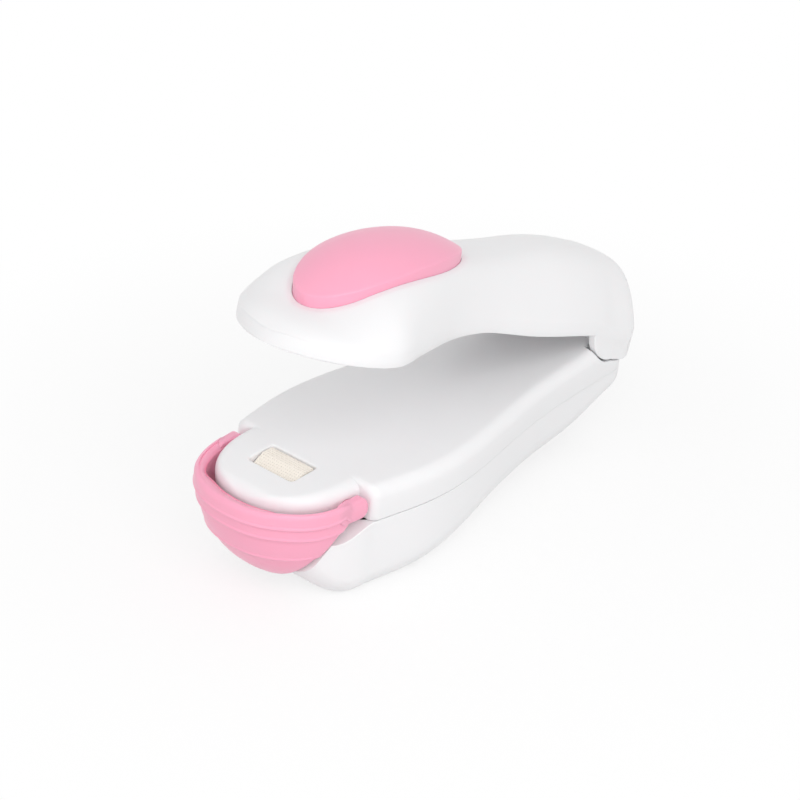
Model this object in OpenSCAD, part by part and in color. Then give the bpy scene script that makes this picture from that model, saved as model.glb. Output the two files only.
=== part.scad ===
// Mini bag sealer: a pocket heat sealer with a spring arm, a sprung heater and a swing-up safety catch.
// Millimetres. +Z is up and the nose points to -Y.
// The origin lies on the flat underside, below the shoulder line.

/* [Base] */
// Length of the base from its shoulder to its stern
body_l = 76.6; // [74:0.2:80]
// Width across the shoulder, where the nose begins
shoulder_w = 34.8; // [33.6:0.2:37]
// Greatest width of the base
beam_w = 39.4; // [37:0.2:43]
// Where the base reaches its greatest width
beam_y = 13; // [10:0.5:16]
// Where the base starts to narrow
beam_end_y = 24; // [22:0.5:27]
// Width of the waist
waist_w = 29; // [28:0.2:32]
// Where the waist is measured
waist_y = 48; // [45:0.5:52]
// Width at the stern
stern_w = 23.6; // [23:0.2:26]
// Height of the deck
deck_z = 21.8; // [21:0.2:24]
// Height of the seam between the two shells
seam_z = 14.5; // [13.8:0.1:14.8]
// Rounding of the deck edge
deck_edge_r = 2.4; // [1.8:0.1:3]
// Rounding of the lower edge at the bow
bilge_r = 4.6; // [4:0.1:6]
// Rounding of the lower edge at the waist
waist_bilge_r = 11.5; // [9:0.1:12]
// Wall of both shells
wall = 1.6; // [1.2:0.1:1.9]
// Rise of the underside at the stern
stern_rise = 9.6; // [8:0.2:11]

/* [Nose] */
// Width of the nose behind the catch
nose_w = 27.6; // [26.6:0.2:28.2]
// Length of the nose
nose_l = 15.4; // [14.6:0.2:15.8]
// How far the nose droops at its tip
nose_drop = 0.9; // [0.4:0.1:1.4]
// Width of the heater window
window_w = 11; // [9:0.2:12]
// Length of the heater window, along the sealer
window_l = 6.2; // [5.4:0.2:6.6]
// Distance from the shoulder to the middle of the window
window_y = 5.2; // [4.8:0.1:5.4]

/* [Press arm] */
// Angle by which the arm stands open at rest
arm_open = 17.5; // [14:0.5:20]
// Width of the arm's head
head_w = 35.4; // [33:0.2:38]
// Distance from the widest part of the head to its tip
head_l = 15.6; // [15.2:0.2:16.4]
// Width of the arm's neck
neck_w = 21.8; // [20.4:0.2:24]
// Width of the arm over the hinge
hump_w = 24.8; // [24.4:0.2:27]
// Height of the head above the deck, arm closed
head_h = 13.1; // [12.6:0.1:13.6]
// Height of the hump above the deck, arm closed
hump_h = 16.4; // [15:0.2:18]
// Height of the plain band round the rim of the head
rim_band = 2.7; // [1.8:0.1:3]
// Wall of the arm
arm_wall = 1.5; // [1.2:0.1:1.8]
// Gap between the closed arm's tip and the deck
tip_gap = 0.7; // [0.6:0.1:1.2]

/* [Thumb pad] */
// Width of the thumb pad
pad_w = 19.2; // [17:0.2:20.4]
// From the widest part of the pad to its front end
pad_front = 16.5; // [15:0.1:17]
// From the widest part of the pad to its rear end
pad_back = 21.1; // [19:0.1:22]
// Depth of the recess that holds the pad, at the ends of the pad
pad_seat = 0.6; // [0.4:0.1:1]
// Height of the pad's side above the arm
pad_side = 1.5; // [1.1:0.1:2]
// Rise of the domed top of the pad
pad_dome = 3.5; // [2:0.1:4]
// Rise of the pad's edge in the middle of its length
pad_bow = 3.2; // [2:0.1:3.6]

/* [Safety catch] */
// Reach of the catch in front of its pivot
catch_r = 16.5; // [16:0.1:17.4]
// Play between the nose and the catch, on each side
catch_play = 0.6; // [0.4:0.1:0.9]
// Wall of the catch
catch_t = 2.2; // [1.8:0.1:2.4]
// Diameter of the pivot studs
stud_d = 3; // [2.4:0.1:3.4]
// Distance from the shoulder to the pivot
pivot_y = 3.2; // [3:0.1:3.6]
// Depth of the pivot below the deck
pivot_drop = 4.2; // [4:0.1:4.6]
// How far the chin wraps under the nose, in degrees
chin_wrap = 60; // [54:1:62]
// How much fuller the catch is at its chin, as a share of its reach
chin_grow = 0.1; // [0.08:0.01:0.15]
// Height of each step on the catch
catch_step = 0.45; // [0.3:0.05:0.6]

/* [Works] */
// Diameter of a cell
cell_d = 10.5; // [9.8:0.1:10.6]
// Length of a cell
cell_l = 44.5; // [43:0.1:45]
// Diameter of the hinge pin
pin_d = 2.6; // [2:0.1:3]
// Travel of the heater
heater_travel = 1; // [0.6:0.1:1.3]
// Diameter of the screw shanks
screw_d = 2; // [1.6:0.1:2.2]
// Diameter of the wires over their insulation
wire_d = 1.1; // [0.8:0.1:1.3]
// Running clearance of pins, on the radius
pin_fit = 0.05; // [0.02:0.01:0.09]
// Gap between parts that pass each other
gap = 0.4; // [0.3:0.05:0.6]
// Gap along fixed joints, such as the seam
seam_gap = 0.15; // [0.1:0.05:0.25]

/* [Hidden] */
$fn = 48;

// Colours
white_abs = [0.95, 0.95, 0.96];
pink_abs = [1.0, 0.66, 0.76];
silicone = [0.82, 0.82, 0.80];
cloth_tan = [0.90, 0.84, 0.74];
ceramic = [0.88, 0.86, 0.80];
steel = [0.72, 0.73, 0.75];
brass = [0.80, 0.66, 0.36];
cell_green = [0.25, 0.45, 0.40];
wire_red = [0.75, 0.12, 0.10];
wire_black = [0.10, 0.10, 0.11];

// Places worked out from the driving sizes
hinge_y = body_l - 6.1;
hinge_z = deck_z + 2.2;
pivot_z = deck_z - pivot_drop;
catch_w = nose_w + 2 * (catch_t + catch_play);
knuckle_r = pin_d / 2 + 1.8;
knuckle_in = 4.6;
ear_in = 10.1;
ear_r = 6;
knuckle_out = ear_in - gap;
knuckle_l = knuckle_out - knuckle_in - 0.6;
ear_out = hump_w / 2;
ear_bore = pin_d / 2;
pin_half = ear_in + ear_bore;

// Base form
crown = 0.7;
corner_r = 1.4;
stern_r = 5;
rim_drop = 2.5;
rim_run = 7;
bow_r = catch_r - catch_t - gap;
bow_l = pivot_y + sqrt(pow(bow_r, 2) - pow(pivot_z - seam_z + rim_drop, 2));
flat_end = 35;
cut_depth = 0.3;
floor_z = wall - cut_depth;
lean_line = [[0, 0.05], [beam_y, 0.06], [waist_y, 0.1], [body_l, 0.05]];
bilge_line = [[-5, bilge_r], [beam_y - 3, bilge_r + 1.4], [beam_end_y + 2, waist_bilge_r - 1.5],
  [36, waist_bilge_r], [waist_y, waist_bilge_r - 3], [60, 6.4], [body_l, 6]];
base_plan = [[0, shoulder_w / 2], [beam_y, beam_w / 2], [beam_end_y, beam_w / 2 - 0.5],
  [waist_y, waist_w / 2], [body_l, stern_w / 2]];
keel_line = concat(
  [for (a = [24, 36, 47, 56]) [-pivot_y - bow_r * cos(a), pivot_z - bow_r * sin(a)]],
  [[-8.6, 3.2], [-6.4, 1.2], [-4, 0], [-2, -cut_depth], [flat_end, -cut_depth], [waist_y, 2.2],
   [hinge_y - 10, 0.46 * stern_rise], [hinge_y - 1.5, 0.74 * stern_rise], [body_l, stern_rise]]);

// Arm form, arm closed
head_y = 3;
arm_tip = head_y - head_l;
arm_rear = hinge_y + 9.8;
head_n = 1.78;
neck_y = 35;
hump_y = 54;
rear_r = 5;
liner_end = 36;
liner_t = 1.4;
liner_lift = 0.5;
arm_plan = [[head_y - 8, head_w / 2 - 1.2], [head_y, head_w / 2], [11, head_w / 2 - 2.2],
  [23.5, neck_w / 2 + 1], [neck_y, neck_w / 2], [47, (neck_w + hump_w) / 4], [58, hump_w / 2],
  [arm_rear, hump_w / 2]];
arm_low_line = [[arm_tip, deck_at(arm_tip) + tip_gap], [0, deck_z + tip_gap], [10, deck_z + 1.8],
  [23.5, deck_z + 2.8], [33, deck_z + 3], [40, deck_z + 2.4], [48, deck_z + 1.7], [60, deck_z + 1.4],
  [hinge_y - 4.5, deck_z + 1], [hinge_y, deck_z - 0.6], [arm_rear, deck_z - 0.7]];
head_top = deck_z + head_h;
hump_top = deck_z + hump_h;
arm_top_line = [[arm_tip, deck_at(arm_tip) + tip_gap + rim_band], [arm_tip + 2.2, head_top - 8.5],
  [-8, head_top - 7.4], [-5, head_top - 6.3], [-1, head_top - 3.9], [head_y, head_top - 1.4],
  [8, head_top + 0.7], [13, head_top + 1.8], [19, head_top + 2.4], [26, head_top + 2.4],
  [34, head_top + 2.3], [44, hump_top - 0.6], [hump_y, hump_top], [hinge_y - 8.5, hump_top - 0.3],
  [hinge_y - 1.5, hump_top - 1.7], [hinge_y + 3.5, hump_top - 3.2], [hinge_y + 7, hump_top - 6],
  [arm_rear, hump_top - 10.4]];
dome_line = [[arm_tip, 3], [-6, 3.6], [0, 4.4], [8, 5], [22, 4.8], [34, 3.8], [48, 3.3], [arm_rear, 3.3]];

// Thumb pad seat
pad_y = 11.1;
pad_tilt = 11.7;
pad_clear = 0.3;
pad_plane_z = head_top - 3.1;

// Heater stack, from the window down
window_z = deck_at(-window_y);
carrier_w = 14.4;
carrier_top = window_z - wall - 0.5;
carrier_low = carrier_top - 4.5;
flange_l = window_l + 2.6;
flange_t = 2;
boss_w = window_w - 2 * gap - 0.6;
boss_l = window_l - 2 * gap;
ridge_y = -window_y + 0.25 * boss_l;
cloth_t = 0.25;
strip_t = 0.2;
ridge_z = window_z - cloth_t - strip_t;
terminal_t = 0.3;
leaf_t = 0.4;
leaf_w = 2;
leaf_l = 6.4;
leaf_x = carrier_w / 2 - 0.6;
leaf_y = -4;
leaf_top = carrier_low - terminal_t - heater_travel - 0.1;
guide_x = 3.6;
guide_y = -window_y - 1.3;
guide_r = 1.2;
guide_seat = carrier_low - 5;

// Cells and contacts
plate_t = 0.5;
nub_h = 0.5;
spring_l = 3.5;
cell_x = cell_d / 2 + 0.2;
cell_z = cell_d / 2 + 5.8;
front_plate_y = 4.2;
bay_l = cell_l + spring_l + nub_h;
rear_plate_y = front_plate_y + plate_t + bay_l;
rib_y = rear_plate_y + plate_t;
rib_t = 1.8;
door_start = 3.2;
door_screw_y = rib_y + rib_t + 0.8;
door_screw_r = 0.8;
door_boss_r = 1.8;
door_end = door_screw_y + 2.4;
door_top = 8;
door_w = 2 * (cell_x + cell_d / 2) + 0.4;

// Case screws: [x, y] of the posts on the right-hand side
post_r = screw_d / 2 + 1.3;
head_r = screw_d / 2 + 1;
posts = [[door_w / 2 + head_r + 1, beam_y - 1], [7, rib_y + 8.6]];

// Numbers and curves
function sup(t, n) = pow(max(1 - pow(abs(t), n), 0), 1 / n);
function smooth(t) = let (u = min(max(t, 0), 1)) u * u * (3 - 2 * u);
function unit(v) = v / norm(v);
function slope(s, i) = let (a = max(i - 1, 0), b = min(i + 1, len(s) - 1))
  (s[b][1] - s[a][1]) / (s[b][0] - s[a][0]);
function span(s, t, i = 0) = i >= len(s) - 2 || t < s[i + 1][0] ? i : span(s, t, i + 1);

// Smooth curve through [place, value] stations
function curve(s, t) = let (
    q = min(max(t, s[0][0]), s[len(s) - 1][0]),
    i = span(s, q),
    h = s[i + 1][0] - s[i][0],
    u = (q - s[i][0]) / h)
  (2 * pow(u, 3) - 3 * u * u + 1) * s[i][1] + (pow(u, 3) - 2 * u * u + u) * h * slope(s, i)
  + (3 * u * u - 2 * pow(u, 3)) * s[i + 1][1] + (pow(u, 3) - u * u) * h * slope(s, i + 1);

// How far a rounded corner draws in at a distance from its end
function corner_cut(d, r) = d >= r ? 0 : r - sqrt(max(r * r - pow(r - max(d, 0), 2), 0));

// Closed skin over rings that have the same number of points
module skin(rings) {
  n = len(rings[0]);
  m = len(rings);
  sides = [for (i = [0 : m - 2], j = [0 : n - 1]) let (a = i * n + j, b = i * n + (j + 1) % n)
    each [[a, b, b + n], [a, b + n, a + n]]];
  ends = [[for (j = [n - 1 : -1 : 0]) j], [for (j = [0 : n - 1]) (m - 1) * n + j]];
  polyhedron([for (r = rings) each r], concat(sides, ends), convexity = 8);
}

// Ring from the points of its right-hand half, as [x, z], listed from below
function mirrored(y, half) = concat([for (p = half) [p[0], y, p[1]]],
  [for (i = [len(half) - 1 : -1 : 0]) if (half[i][0] > 0.001) [-half[i][0], y, half[i][1]]]);

// Round tube along a path; ref is a direction that the path never follows
function heading(p, i) = unit(p[min(i + 1, len(p) - 1)] - p[max(i - 1, 0)]);
function tube_ring(c, t, ref, r, n) = let (b = unit(cross(t, ref)), a = cross(b, t))
  [for (k = [0 : n - 1]) c + r * (cos(360 * k / n) * a - sin(360 * k / n) * b)];
module tube(path, r, ref, n = 6) {
  skin([for (i = [0 : len(path) - 1]) tube_ring(path[i], heading(path, i), ref, r, n)]);
}

// Points of a coil round the Z axis, rising from the origin
function coil(r, pitch, turns, steps = 8) = [for (i = [0 : turns * steps])
  [r * cos(360 * i / steps), r * sin(360 * i / steps), pitch * i / steps]];

module mirror_pair() {
  children();
  mirror([1, 0, 0]) children();
}

// Upright block, centred on x and y
module block(x, y, z0, z1) {
  translate([-x / 2, -y / 2, z0]) cube([x, y, z1 - z0]);
}

// Flat plate with round corners
module plate(x, y, r, z0, z1) {
  block(x - 2 * r, y, z0, z1);
  block(x, y - 2 * r, z0, z1);
  for (i = [-1, 1], j = [-1, 1])
    translate([i * (x / 2 - r), j * (y / 2 - r), z0]) cylinder(r = r, h = z1 - z0);
}

// Outline of the base
function deck_at(y) = deck_z - (y < 0 ? nose_drop * pow(y / nose_l, 2) : 0);
function nose_top(y) = deck_at(y) - corner_cut(y + nose_l, deck_edge_r);
function crown_at(x) = crown * pow(2 * x / beam_w, 2);
function stern_half(y) = curve(base_plan, y) - corner_cut(body_l - y, stern_r);
function nose_half(y) = nose_w / 2 * sup(y / nose_l, 2.4);
function bow_half(y) = shoulder_w / 2 * sup(y / bow_l, 1.9);
function side_x(w, z, lean) = w - lean * (deck_z - z);
function lean_at(y) = curve(lean_line, y);
function rim_at(y) = seam_z - rim_drop * smooth(-y / rim_run);

// Section of the upper shell
function deck_half_ring(w, top, foot, edge, lean) = let (
    r = min(edge, 0.6 * w),
    flat = w - r,
    ze = top - crown_at(flat) - r)
  concat([[side_x(w, foot, lean), foot]], [for (a = [0 : 18 : 90]) [flat + r * cos(a), ze + r * sin(a)]],
    [[flat * 0.66, top - crown_at(flat * 0.66)], [flat * 0.33, top - crown_at(flat * 0.33)], [0, top]]);

// Section of the lower shell
function tub_half_ring(w, top, keel, edge, lean) = let (
    r = min(edge, 0.7 * w, 0.86 * (top - keel)),
    cx = side_x(w, keel + r, lean) - r)
  concat([for (a = [-90 : 15 : 0]) [cx + r * cos(a), keel + r + r * sin(a)]], [[side_x(w, top, lean), top]]);

nose_steps = [for (a = [2, 8, 16, 26, 38, 50, 62, 72, 80, 86]) -nose_l * cos(a)];
body_steps = concat([0.02, 0.3, 0.8, corner_r], [for (t = [4 : 4.1 : body_l - stern_r]) t],
  [for (a = [0 : 15 : 75]) body_l - stern_r + stern_r * sin(a)], [body_l]);
bow_steps = [for (a = [3, 9, 17, 27, 38, 49, 60, 70, 80]) -bow_l * cos(a)];
tub_steps = concat(bow_steps, [0], [for (t = body_steps) if (t > 2) t]);

// Outside of the upper shell, or its hollow when inset is the wall
module upper_form(inset) {
  nose = [for (y = nose_steps) if (nose_half(y) > inset + 1.2) mirrored(y + inset,
    deck_half_ring(nose_half(y) - inset, nose_top(y) - inset,
      inset > 0 ? 0 : rim_at(y) + seam_gap + gap, deck_edge_r - inset, lean_at(0)))];
  body = [for (y = body_steps) if (y + inset <= body_l - inset) mirrored(y + inset,
    deck_half_ring(min(stern_half(y + inset) - corner_cut(y, corner_r) - inset,
        inset > 0 && y > hinge_y - ear_r - 4 ? knuckle_out - wall : beam_w),
      deck_z - inset, inset > 0 ? 0 : seam_z + seam_gap, deck_edge_r - inset, inset > 0 ? 0 : lean_at(y)))];
  join = mirrored(inset, deck_half_ring(nose_w / 2 - inset, deck_z - inset,
    inset > 0 ? 0 : seam_z + seam_gap + gap, deck_edge_r - inset, lean_at(0)));
  skin(concat(nose, [join], body));
}

// Outside of the lower shell, or its hollow when inset is the wall
module lower_form(inset) {
  skin([for (y = tub_steps) let (w = inset > 0 ? hollow_half(y) : tub_half(y))
    if (w > 1.2 && y <= body_l - inset) mirrored(y,
      tub_half_ring(w, rim_at(y) + (inset > 0 ? 2 : 0), inset > 0 ? hollow_keel(y) : curve(keel_line, y),
        curve(bilge_line, y) - inset, lean_at(y)))]);
}
function tub_half(y) = y < 0 ? bow_half(y) : stern_half(y);

// The hollow keeps a wall inside the sweep of the catch
function in_bow(y) = min(max((-pivot_y - y) / (bow_r - wall), 0), 1);
function hollow_half(y) = y > -0.1 ? stern_half(y) - wall
  : min(bow_half(y) - wall, (catch_w / 2 - catch_t - gap - wall) * sup(in_bow(y), catch_n));
function hollow_keel(y) = max(curve(keel_line, y) + wall,
  y > -pivot_y - 0.5 ? 0 : pivot_z - (bow_r - wall) * sqrt(max(1 - pow(in_bow(y), 2), 0)));

// Room for the catch where it lies against the bow
function room_turn(i, down) = -80 + i * (down + 80) / 8;
module catch_room() {
  room = 8;
  outer_x = catch_w / 2 + room;
  inner_x = catch_w / 2 - catch_t - gap;
  band_skin([for (t = catch_steps) let (
      c = pow(cos(t), 2 / catch_n),
      s = sign(t) * pow(abs(sin(t)), 2 / catch_n),
      ri = (catch_r - catch_t) * c - gap,
      down = catch_down(c) + 3)
    concat([for (i = [0 : 8]) catch_point(outer_x * s, catch_r * c + room, room_turn(i, down))],
      [for (i = [8 : -1 : 0]) catch_point(inner_x * s, ri, room_turn(i, down))])]);
}

module underside_cut() {
  translate([-50, -50, -10]) cube([100, 150, 10]);
}

// Opening for the battery door, grown by a clearance
module door_prism(clear) {
  translate([0, (door_start + door_end) / 2, 0])
    plate(door_w + 2 * clear, door_end - door_start + 2 * clear, 2 + clear, -5, door_top + clear);
}

// Sweep of the arm's ears about the hinge
module ear_recess() {
  mirror_pair() translate([knuckle_out, hinge_y, hinge_z]) rotate([0, 90, 0])
    cylinder(r = ear_r + gap, h = beam_w);
}

module at_posts() {
  mirror_pair() for (p = posts) translate([p[0], p[1], curve(keel_line, p[1])]) children();
}

// Lower case shell: tub with the battery bay, screw posts and heater guides
module lower_shell() {
  rib_keel = curve(keel_line, rib_y + rib_t);
  rib_low = door_top + 0.6;
  rib_w = 2 * side_x(stern_half(rib_y + rib_t), rib_low, lean_at(rib_y)) - wall;
  brace_w = shoulder_w - 2 * wall - 0.4;
  color(white_abs) difference() {
    union() {
      difference() {
        lower_form(0);
        lower_form(wall);
        door_prism(seam_gap);
        catch_room();
      }
      mirror_pair() for (p = posts) let (low = curve(keel_line, p[1]) + 1.4)
        translate([p[0], p[1], low]) cylinder(r = post_r, h = seam_z - low);
      guide_posts();
      mirror_pair() translate([leaf_x, -1.9, 0]) block(leaf_w + 0.4, 2.2, 1, leaf_top - leaf_t);
      translate([0, front_plate_y - 0.85, 0]) block(brace_w, 1.66, wall + 1.8, cell_z + 2);
      translate([0, rib_y + rib_t / 2, 0]) block(13, rib_t, rib_keel + wall + 0.9, cell_z + 1);
      translate([0, rib_y + rib_t / 2, 0]) block(rib_w, rib_t, rib_low, cell_z + 1);
      translate([0, door_screw_y, rib_keel + wall + 1.4])
        cylinder(r = door_boss_r, h = cell_z - rib_keel - wall - 1);
    }
    underside_cut();
    at_posts() screw_way();
    translate([0, door_screw_y, 0]) cylinder(r = door_screw_r + 0.02, h = cell_z);
  }
}

module guide_posts() {
  mirror_pair() translate([guide_x, guide_y, 0]) {
    translate([0, 0, 3.5]) cylinder(r = guide_r + 1.3, h = guide_seat - 3.5);
    translate([0, 0, 4]) cylinder(r = guide_r, h = carrier_low + 1.8 - 4);
    translate([0, 1.6, 0]) block(2 * guide_r, 4.2, 1.5, guide_seat - 1);
  }
}

// Hole and counterbore of a case screw, from the keel up
screw_seat = 3.4;
module screw_way() {
  translate([0, 0, -3]) cylinder(r = head_r + 0.2, h = screw_seat + 3);
  cylinder(r = screw_d / 2 + 0.1, h = 20);
}

// Upper case shell: deck, nose with the heater window, catch pivots and hinge knuckles
module upper_shell() {
  color(white_abs) difference() {
    union() {
      difference() {
        upper_form(0);
        upper_form(wall);
        ear_recess();
      }
      mirror_pair() for (p = posts) translate([p[0], p[1], seam_z + seam_gap])
        cylinder(r = post_r, h = deck_z - 1.2 - seam_z - seam_gap);
      mirror_pair() {
        translate([knuckle_in, hinge_y, hinge_z]) rotate([0, 90, 0]) cylinder(r = knuckle_r, h = knuckle_l);
        translate([knuckle_in, hinge_y - knuckle_r + 0.4, deck_z - 1.2])
          cube([knuckle_l, 2 * knuckle_r - 0.8, hinge_z - deck_z + 1.2]);
        translate([nose_w / 2 - wall - 1.6, -pivot_y, pivot_z]) rotate([0, 90, 0])
          cylinder(r = stud_d / 2 + 1.2, h = 2.2);
      }
    }
    translate([0, -window_y, 0]) plate(window_w, window_l, 0.7, window_z - 5, window_z + 3);
    mirror_pair() translate([nose_w / 2 - wall - 3, -pivot_y, pivot_z]) rotate([0, 90, 0])
      cylinder(r = stud_d / 2 + pin_fit, h = wall + 4);
    translate([-ear_in, hinge_y, hinge_z]) rotate([0, 90, 0])
      cylinder(r = pin_d / 2 + 0.02, h = 2 * ear_in);
    mirror_pair() for (p = posts) translate([p[0], p[1], seam_z - 1])
      cylinder(r = screw_d / 2 + 0.02, h = screw_reach + 1.2);
  }
}
screw_reach = 4.2;

module battery_door() {
  color(white_abs) {
    difference() {
      intersection() {
        lower_form(0);
        door_prism(0);
      }
      lower_form(wall);
      underside_cut();
      translate([0, door_screw_y, 0]) cylinder(r = door_screw_r + 0.1, h = 20);
      translate([0, door_screw_y, 0])
        cylinder(r = door_screw_r + 1, h = curve(keel_line, door_screw_y) + 0.7);
    }
    mirror_pair() translate([5, door_start, 0]) {
      translate([0, 0.2, 0]) block(5, 3.6, floor_z + 0.3, floor_z + 1.5);
      translate([0, 1.1, 0]) block(5, 1.8, floor_z - 0.3, floor_z + 1);
    }
  }
}

module case_screws() {
  color(steel) mirror_pair() for (p = posts) let (seat = curve(keel_line, p[1]) + screw_seat)
    translate([p[0], p[1], seat]) {
      translate([0, 0, -1.4]) cylinder(r = head_r, h = 1.4);
      translate([0, 0, -0.2]) cylinder(r = screw_d / 2, h = seam_z + screw_reach - seat + 0.2);
    }
}

module door_screw() {
  seat = curve(keel_line, door_screw_y) + 0.68;
  color(steel) translate([0, door_screw_y, seat]) {
    translate([0, 0, -0.8]) cylinder(r = door_screw_r + 0.8, h = 0.8);
    translate([0, 0, -0.2]) cylinder(r = door_screw_r, h = 4.6);
  }
}

module hinge_pin() {
  color(steel) translate([-pin_half, hinge_y, hinge_z]) rotate([0, 90, 0])
    cylinder(r = pin_d / 2, h = 2 * pin_half);
}

// Torsion spring: a leg along the deck, the turns round the pin, and a leg under the arm
spring_wire_r = 0.3;
spring_r = hinge_z - deck_z - spring_wire_r - 0.05;
spring_half = 3.4;
spring_from = -90;
spring_to = 68 + 4 * 360;
spring_leg = 10;
function spring_point(a) = [spring_half * (2 * (a - spring_from) / (spring_to - spring_from) - 1),
  hinge_y + spring_r * cos(a), hinge_z + spring_r * sin(a)];
module arm_spring() {
  lift = [0, -sin(spring_to), cos(spring_to)];
  first = spring_point(spring_from);
  last = spring_point(spring_to);
  path = concat([first - [0, spring_leg, 0], first - [0, spring_leg / 2, 0]],
    [for (i = [0 : 36]) spring_point(spring_from + i * (spring_to - spring_from) / 36)],
    [last + spring_leg / 2 * lift, last + spring_leg * lift]);
  color(steel) tube(path, spring_wire_r, [1, 0, 0]);
}

// A cell standing on its flat end
cell_nub_r = 1.9;
module cell() {
  r = cell_d / 2;
  shoulder = cell_l - 1.1;
  color(cell_green) rotate_extrude() polygon([[0, 0], [r - 0.6, 0], [r, 0.5], [r, shoulder - 0.5],
    [r - 0.6, shoulder], [cell_nub_r + 0.1, shoulder], [cell_nub_r, cell_l], [0, cell_l]]);
}

module battery_left() {
  translate([-cell_x, front_plate_y + plate_t + spring_l, cell_z]) rotate([-90, 0, 0]) cell();
}

module battery_right() {
  translate([cell_x, front_plate_y + plate_t + nub_h + cell_l, cell_z]) rotate([90, 0, 0]) cell();
}

contact_r = 2.4;
contact_wire_r = 0.35;
contact_turns = 3;
nub_r = 1.7;
plate_w = 8;
plate_low = 4;
plate_high = 4.8;
bridge_over = 7;
bridge_low = 3.2;
bridge_high = 4.4;
module contact_coil() {
  pitch = (spring_l - contact_wire_r - 0.05) / contact_turns;
  tube(coil(contact_r, pitch, contact_turns), contact_wire_r, [0, 0, 1]);
}

module contact_bridge() {
  color(steel) {
    translate([0, rear_plate_y + plate_t / 2, 0])
      block(2 * cell_x + bridge_over, plate_t, cell_z - bridge_low, cell_z + bridge_high);
    translate([cell_x, rear_plate_y, cell_z]) rotate([90, 0, 0]) contact_coil();
    translate([-cell_x, rear_plate_y + 0.1, cell_z]) rotate([90, 0, 0])
      cylinder(r = nub_r, h = nub_h + 0.08);
  }
}

module front_plate() {
  translate([0, front_plate_y + plate_t / 2, 0])
    block(plate_w, plate_t, cell_z - plate_low, cell_z + plate_high);
}

module contact_positive() {
  color(brass) translate([cell_x, 0, 0]) {
    front_plate();
    translate([0, front_plate_y + 0.1, cell_z]) rotate([-90, 0, 0])
      cylinder(r = nub_r, h = plate_t + nub_h - 0.12);
  }
}

module contact_negative() {
  color(steel) translate([-cell_x, 0, 0]) {
    front_plate();
    translate([0, front_plate_y + plate_t, cell_z]) rotate([-90, 0, 0]) contact_coil();
  }
}

// Two fixed leaves that the heater meets when it is pressed
module contact_leaves() {
  color(brass) mirror_pair() translate([leaf_x, leaf_y, 0])
    block(leaf_w, leaf_l, leaf_top - leaf_t, leaf_top);
}

// Wire from a front plate to the leaf ahead of it; side is 1 on the right
module wire(side) {
  z = leaf_top + wire_d / 2 + 0.02;
  tube([[side * cell_x, front_plate_y - 0.02, cell_z + 3.6], [side * cell_x, 3, cell_z + 3.6],
    [side * (cell_x + 0.4), 1.6, cell_z + 2.8], [side * leaf_x, 0.6, z + 0.6], [side * leaf_x, -0.4, z],
    [side * leaf_x, -1.6, z]], wire_d / 2, [1, 0, 0], 8);
}

module red_wire() {
  color(wire_red) wire(1);
}

module black_wire() {
  color(wire_black) wire(-1);
}

heater_wire_r = 0.25;
heater_coil_r = guide_r + heater_wire_r + 0.35;
heater_turns = 5;
module heater_springs() {
  rise = carrier_low - guide_seat - 2 * heater_wire_r - 0.1;
  color(steel) mirror_pair() translate([guide_x, guide_y, guide_seat + heater_wire_r + 0.05])
    tube(coil(heater_coil_r, rise / heater_turns, heater_turns), heater_wire_r, [0, 0, 1]);
}

// Side view of the heater's ridge, as [y, z], grown by a thickness
ridge_half = 1.1;
ridge_front = 1.5;
ridge_rear = 0.9;
function ridge_side(grow, low, lift) = [[-window_y - boss_l / 2 - grow, low],
  [-window_y - boss_l / 2 - grow, ridge_z - ridge_front + grow],
  [ridge_y - ridge_half, ridge_z + lift + grow], [ridge_y + ridge_half, ridge_z + lift + grow],
  [-window_y + boss_l / 2 + grow, ridge_z - ridge_rear + grow], [-window_y + boss_l / 2 + grow, low]];

// Extrudes a [y, z] outline across the sealer
module across(width, outline) {
  translate([-width / 2, 0, 0]) rotate([90, 0, 90]) linear_extrude(width) polygon(outline);
}

module heater_carrier() {
  color(ceramic) difference() {
    union() {
      across(boss_w - 2 * terminal_t - 0.1, ridge_side(0, carrier_top - 1, 0));
      translate([0, -window_y, 0]) block(carrier_w, flange_l, carrier_top - flange_t, carrier_top);
      translate([0, -window_y, 0]) block(carrier_w, boss_l + 1, carrier_low, carrier_top - flange_t + 0.5);
    }
    mirror_pair() translate([guide_x, guide_y, carrier_low - 1])
      cylinder(r = guide_r + pin_fit, h = heater_travel + 1.8 + 1.4);
  }
}

module heater_strip() {
  color(steel) translate([0, ridge_y, 0]) {
    block(boss_w, 2 * ridge_half, ridge_z + 0.01, ridge_z + strip_t);
    mirror_pair() translate([boss_w / 2 - terminal_t / 2, 0, 0])
      block(terminal_t, 2 * ridge_half, carrier_top + terminal_t, ridge_z + strip_t);
  }
}

module heater_cloth() {
  low = carrier_top + 0.05;
  color(cloth_tan) difference() {
    across(boss_w + 0.3, ridge_side(cloth_t, low, strip_t));
    across(boss_w + 2, ridge_side(0.01, low - 1, strip_t));
  }
}

// Clips that carry the current from the strip to the underside of the carrier
module heater_terminals() {
  inner = boss_w / 2 - terminal_t;
  outer = carrier_w / 2 + terminal_t;
  color(brass) mirror_pair() translate([0, ridge_y, 0]) {
    translate([(inner + outer) / 2, 0, 0])
      block(outer - inner, 2.4, carrier_top + 0.01, carrier_top + terminal_t);
    translate([outer - terminal_t / 2 + 0.01, 0, 0])
      block(terminal_t, 2.4, carrier_low - terminal_t, carrier_top + terminal_t);
    translate([outer - 1, 0, 0]) block(2, 2.4, carrier_low - terminal_t, carrier_low - 0.01);
  }
}

// Turns children from the closed arm's place to its open rest place
module arm_frame() {
  translate([0, hinge_y, hinge_z]) rotate([-arm_open, 0, 0]) translate([0, -hinge_y, -hinge_z]) children();
}

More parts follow.
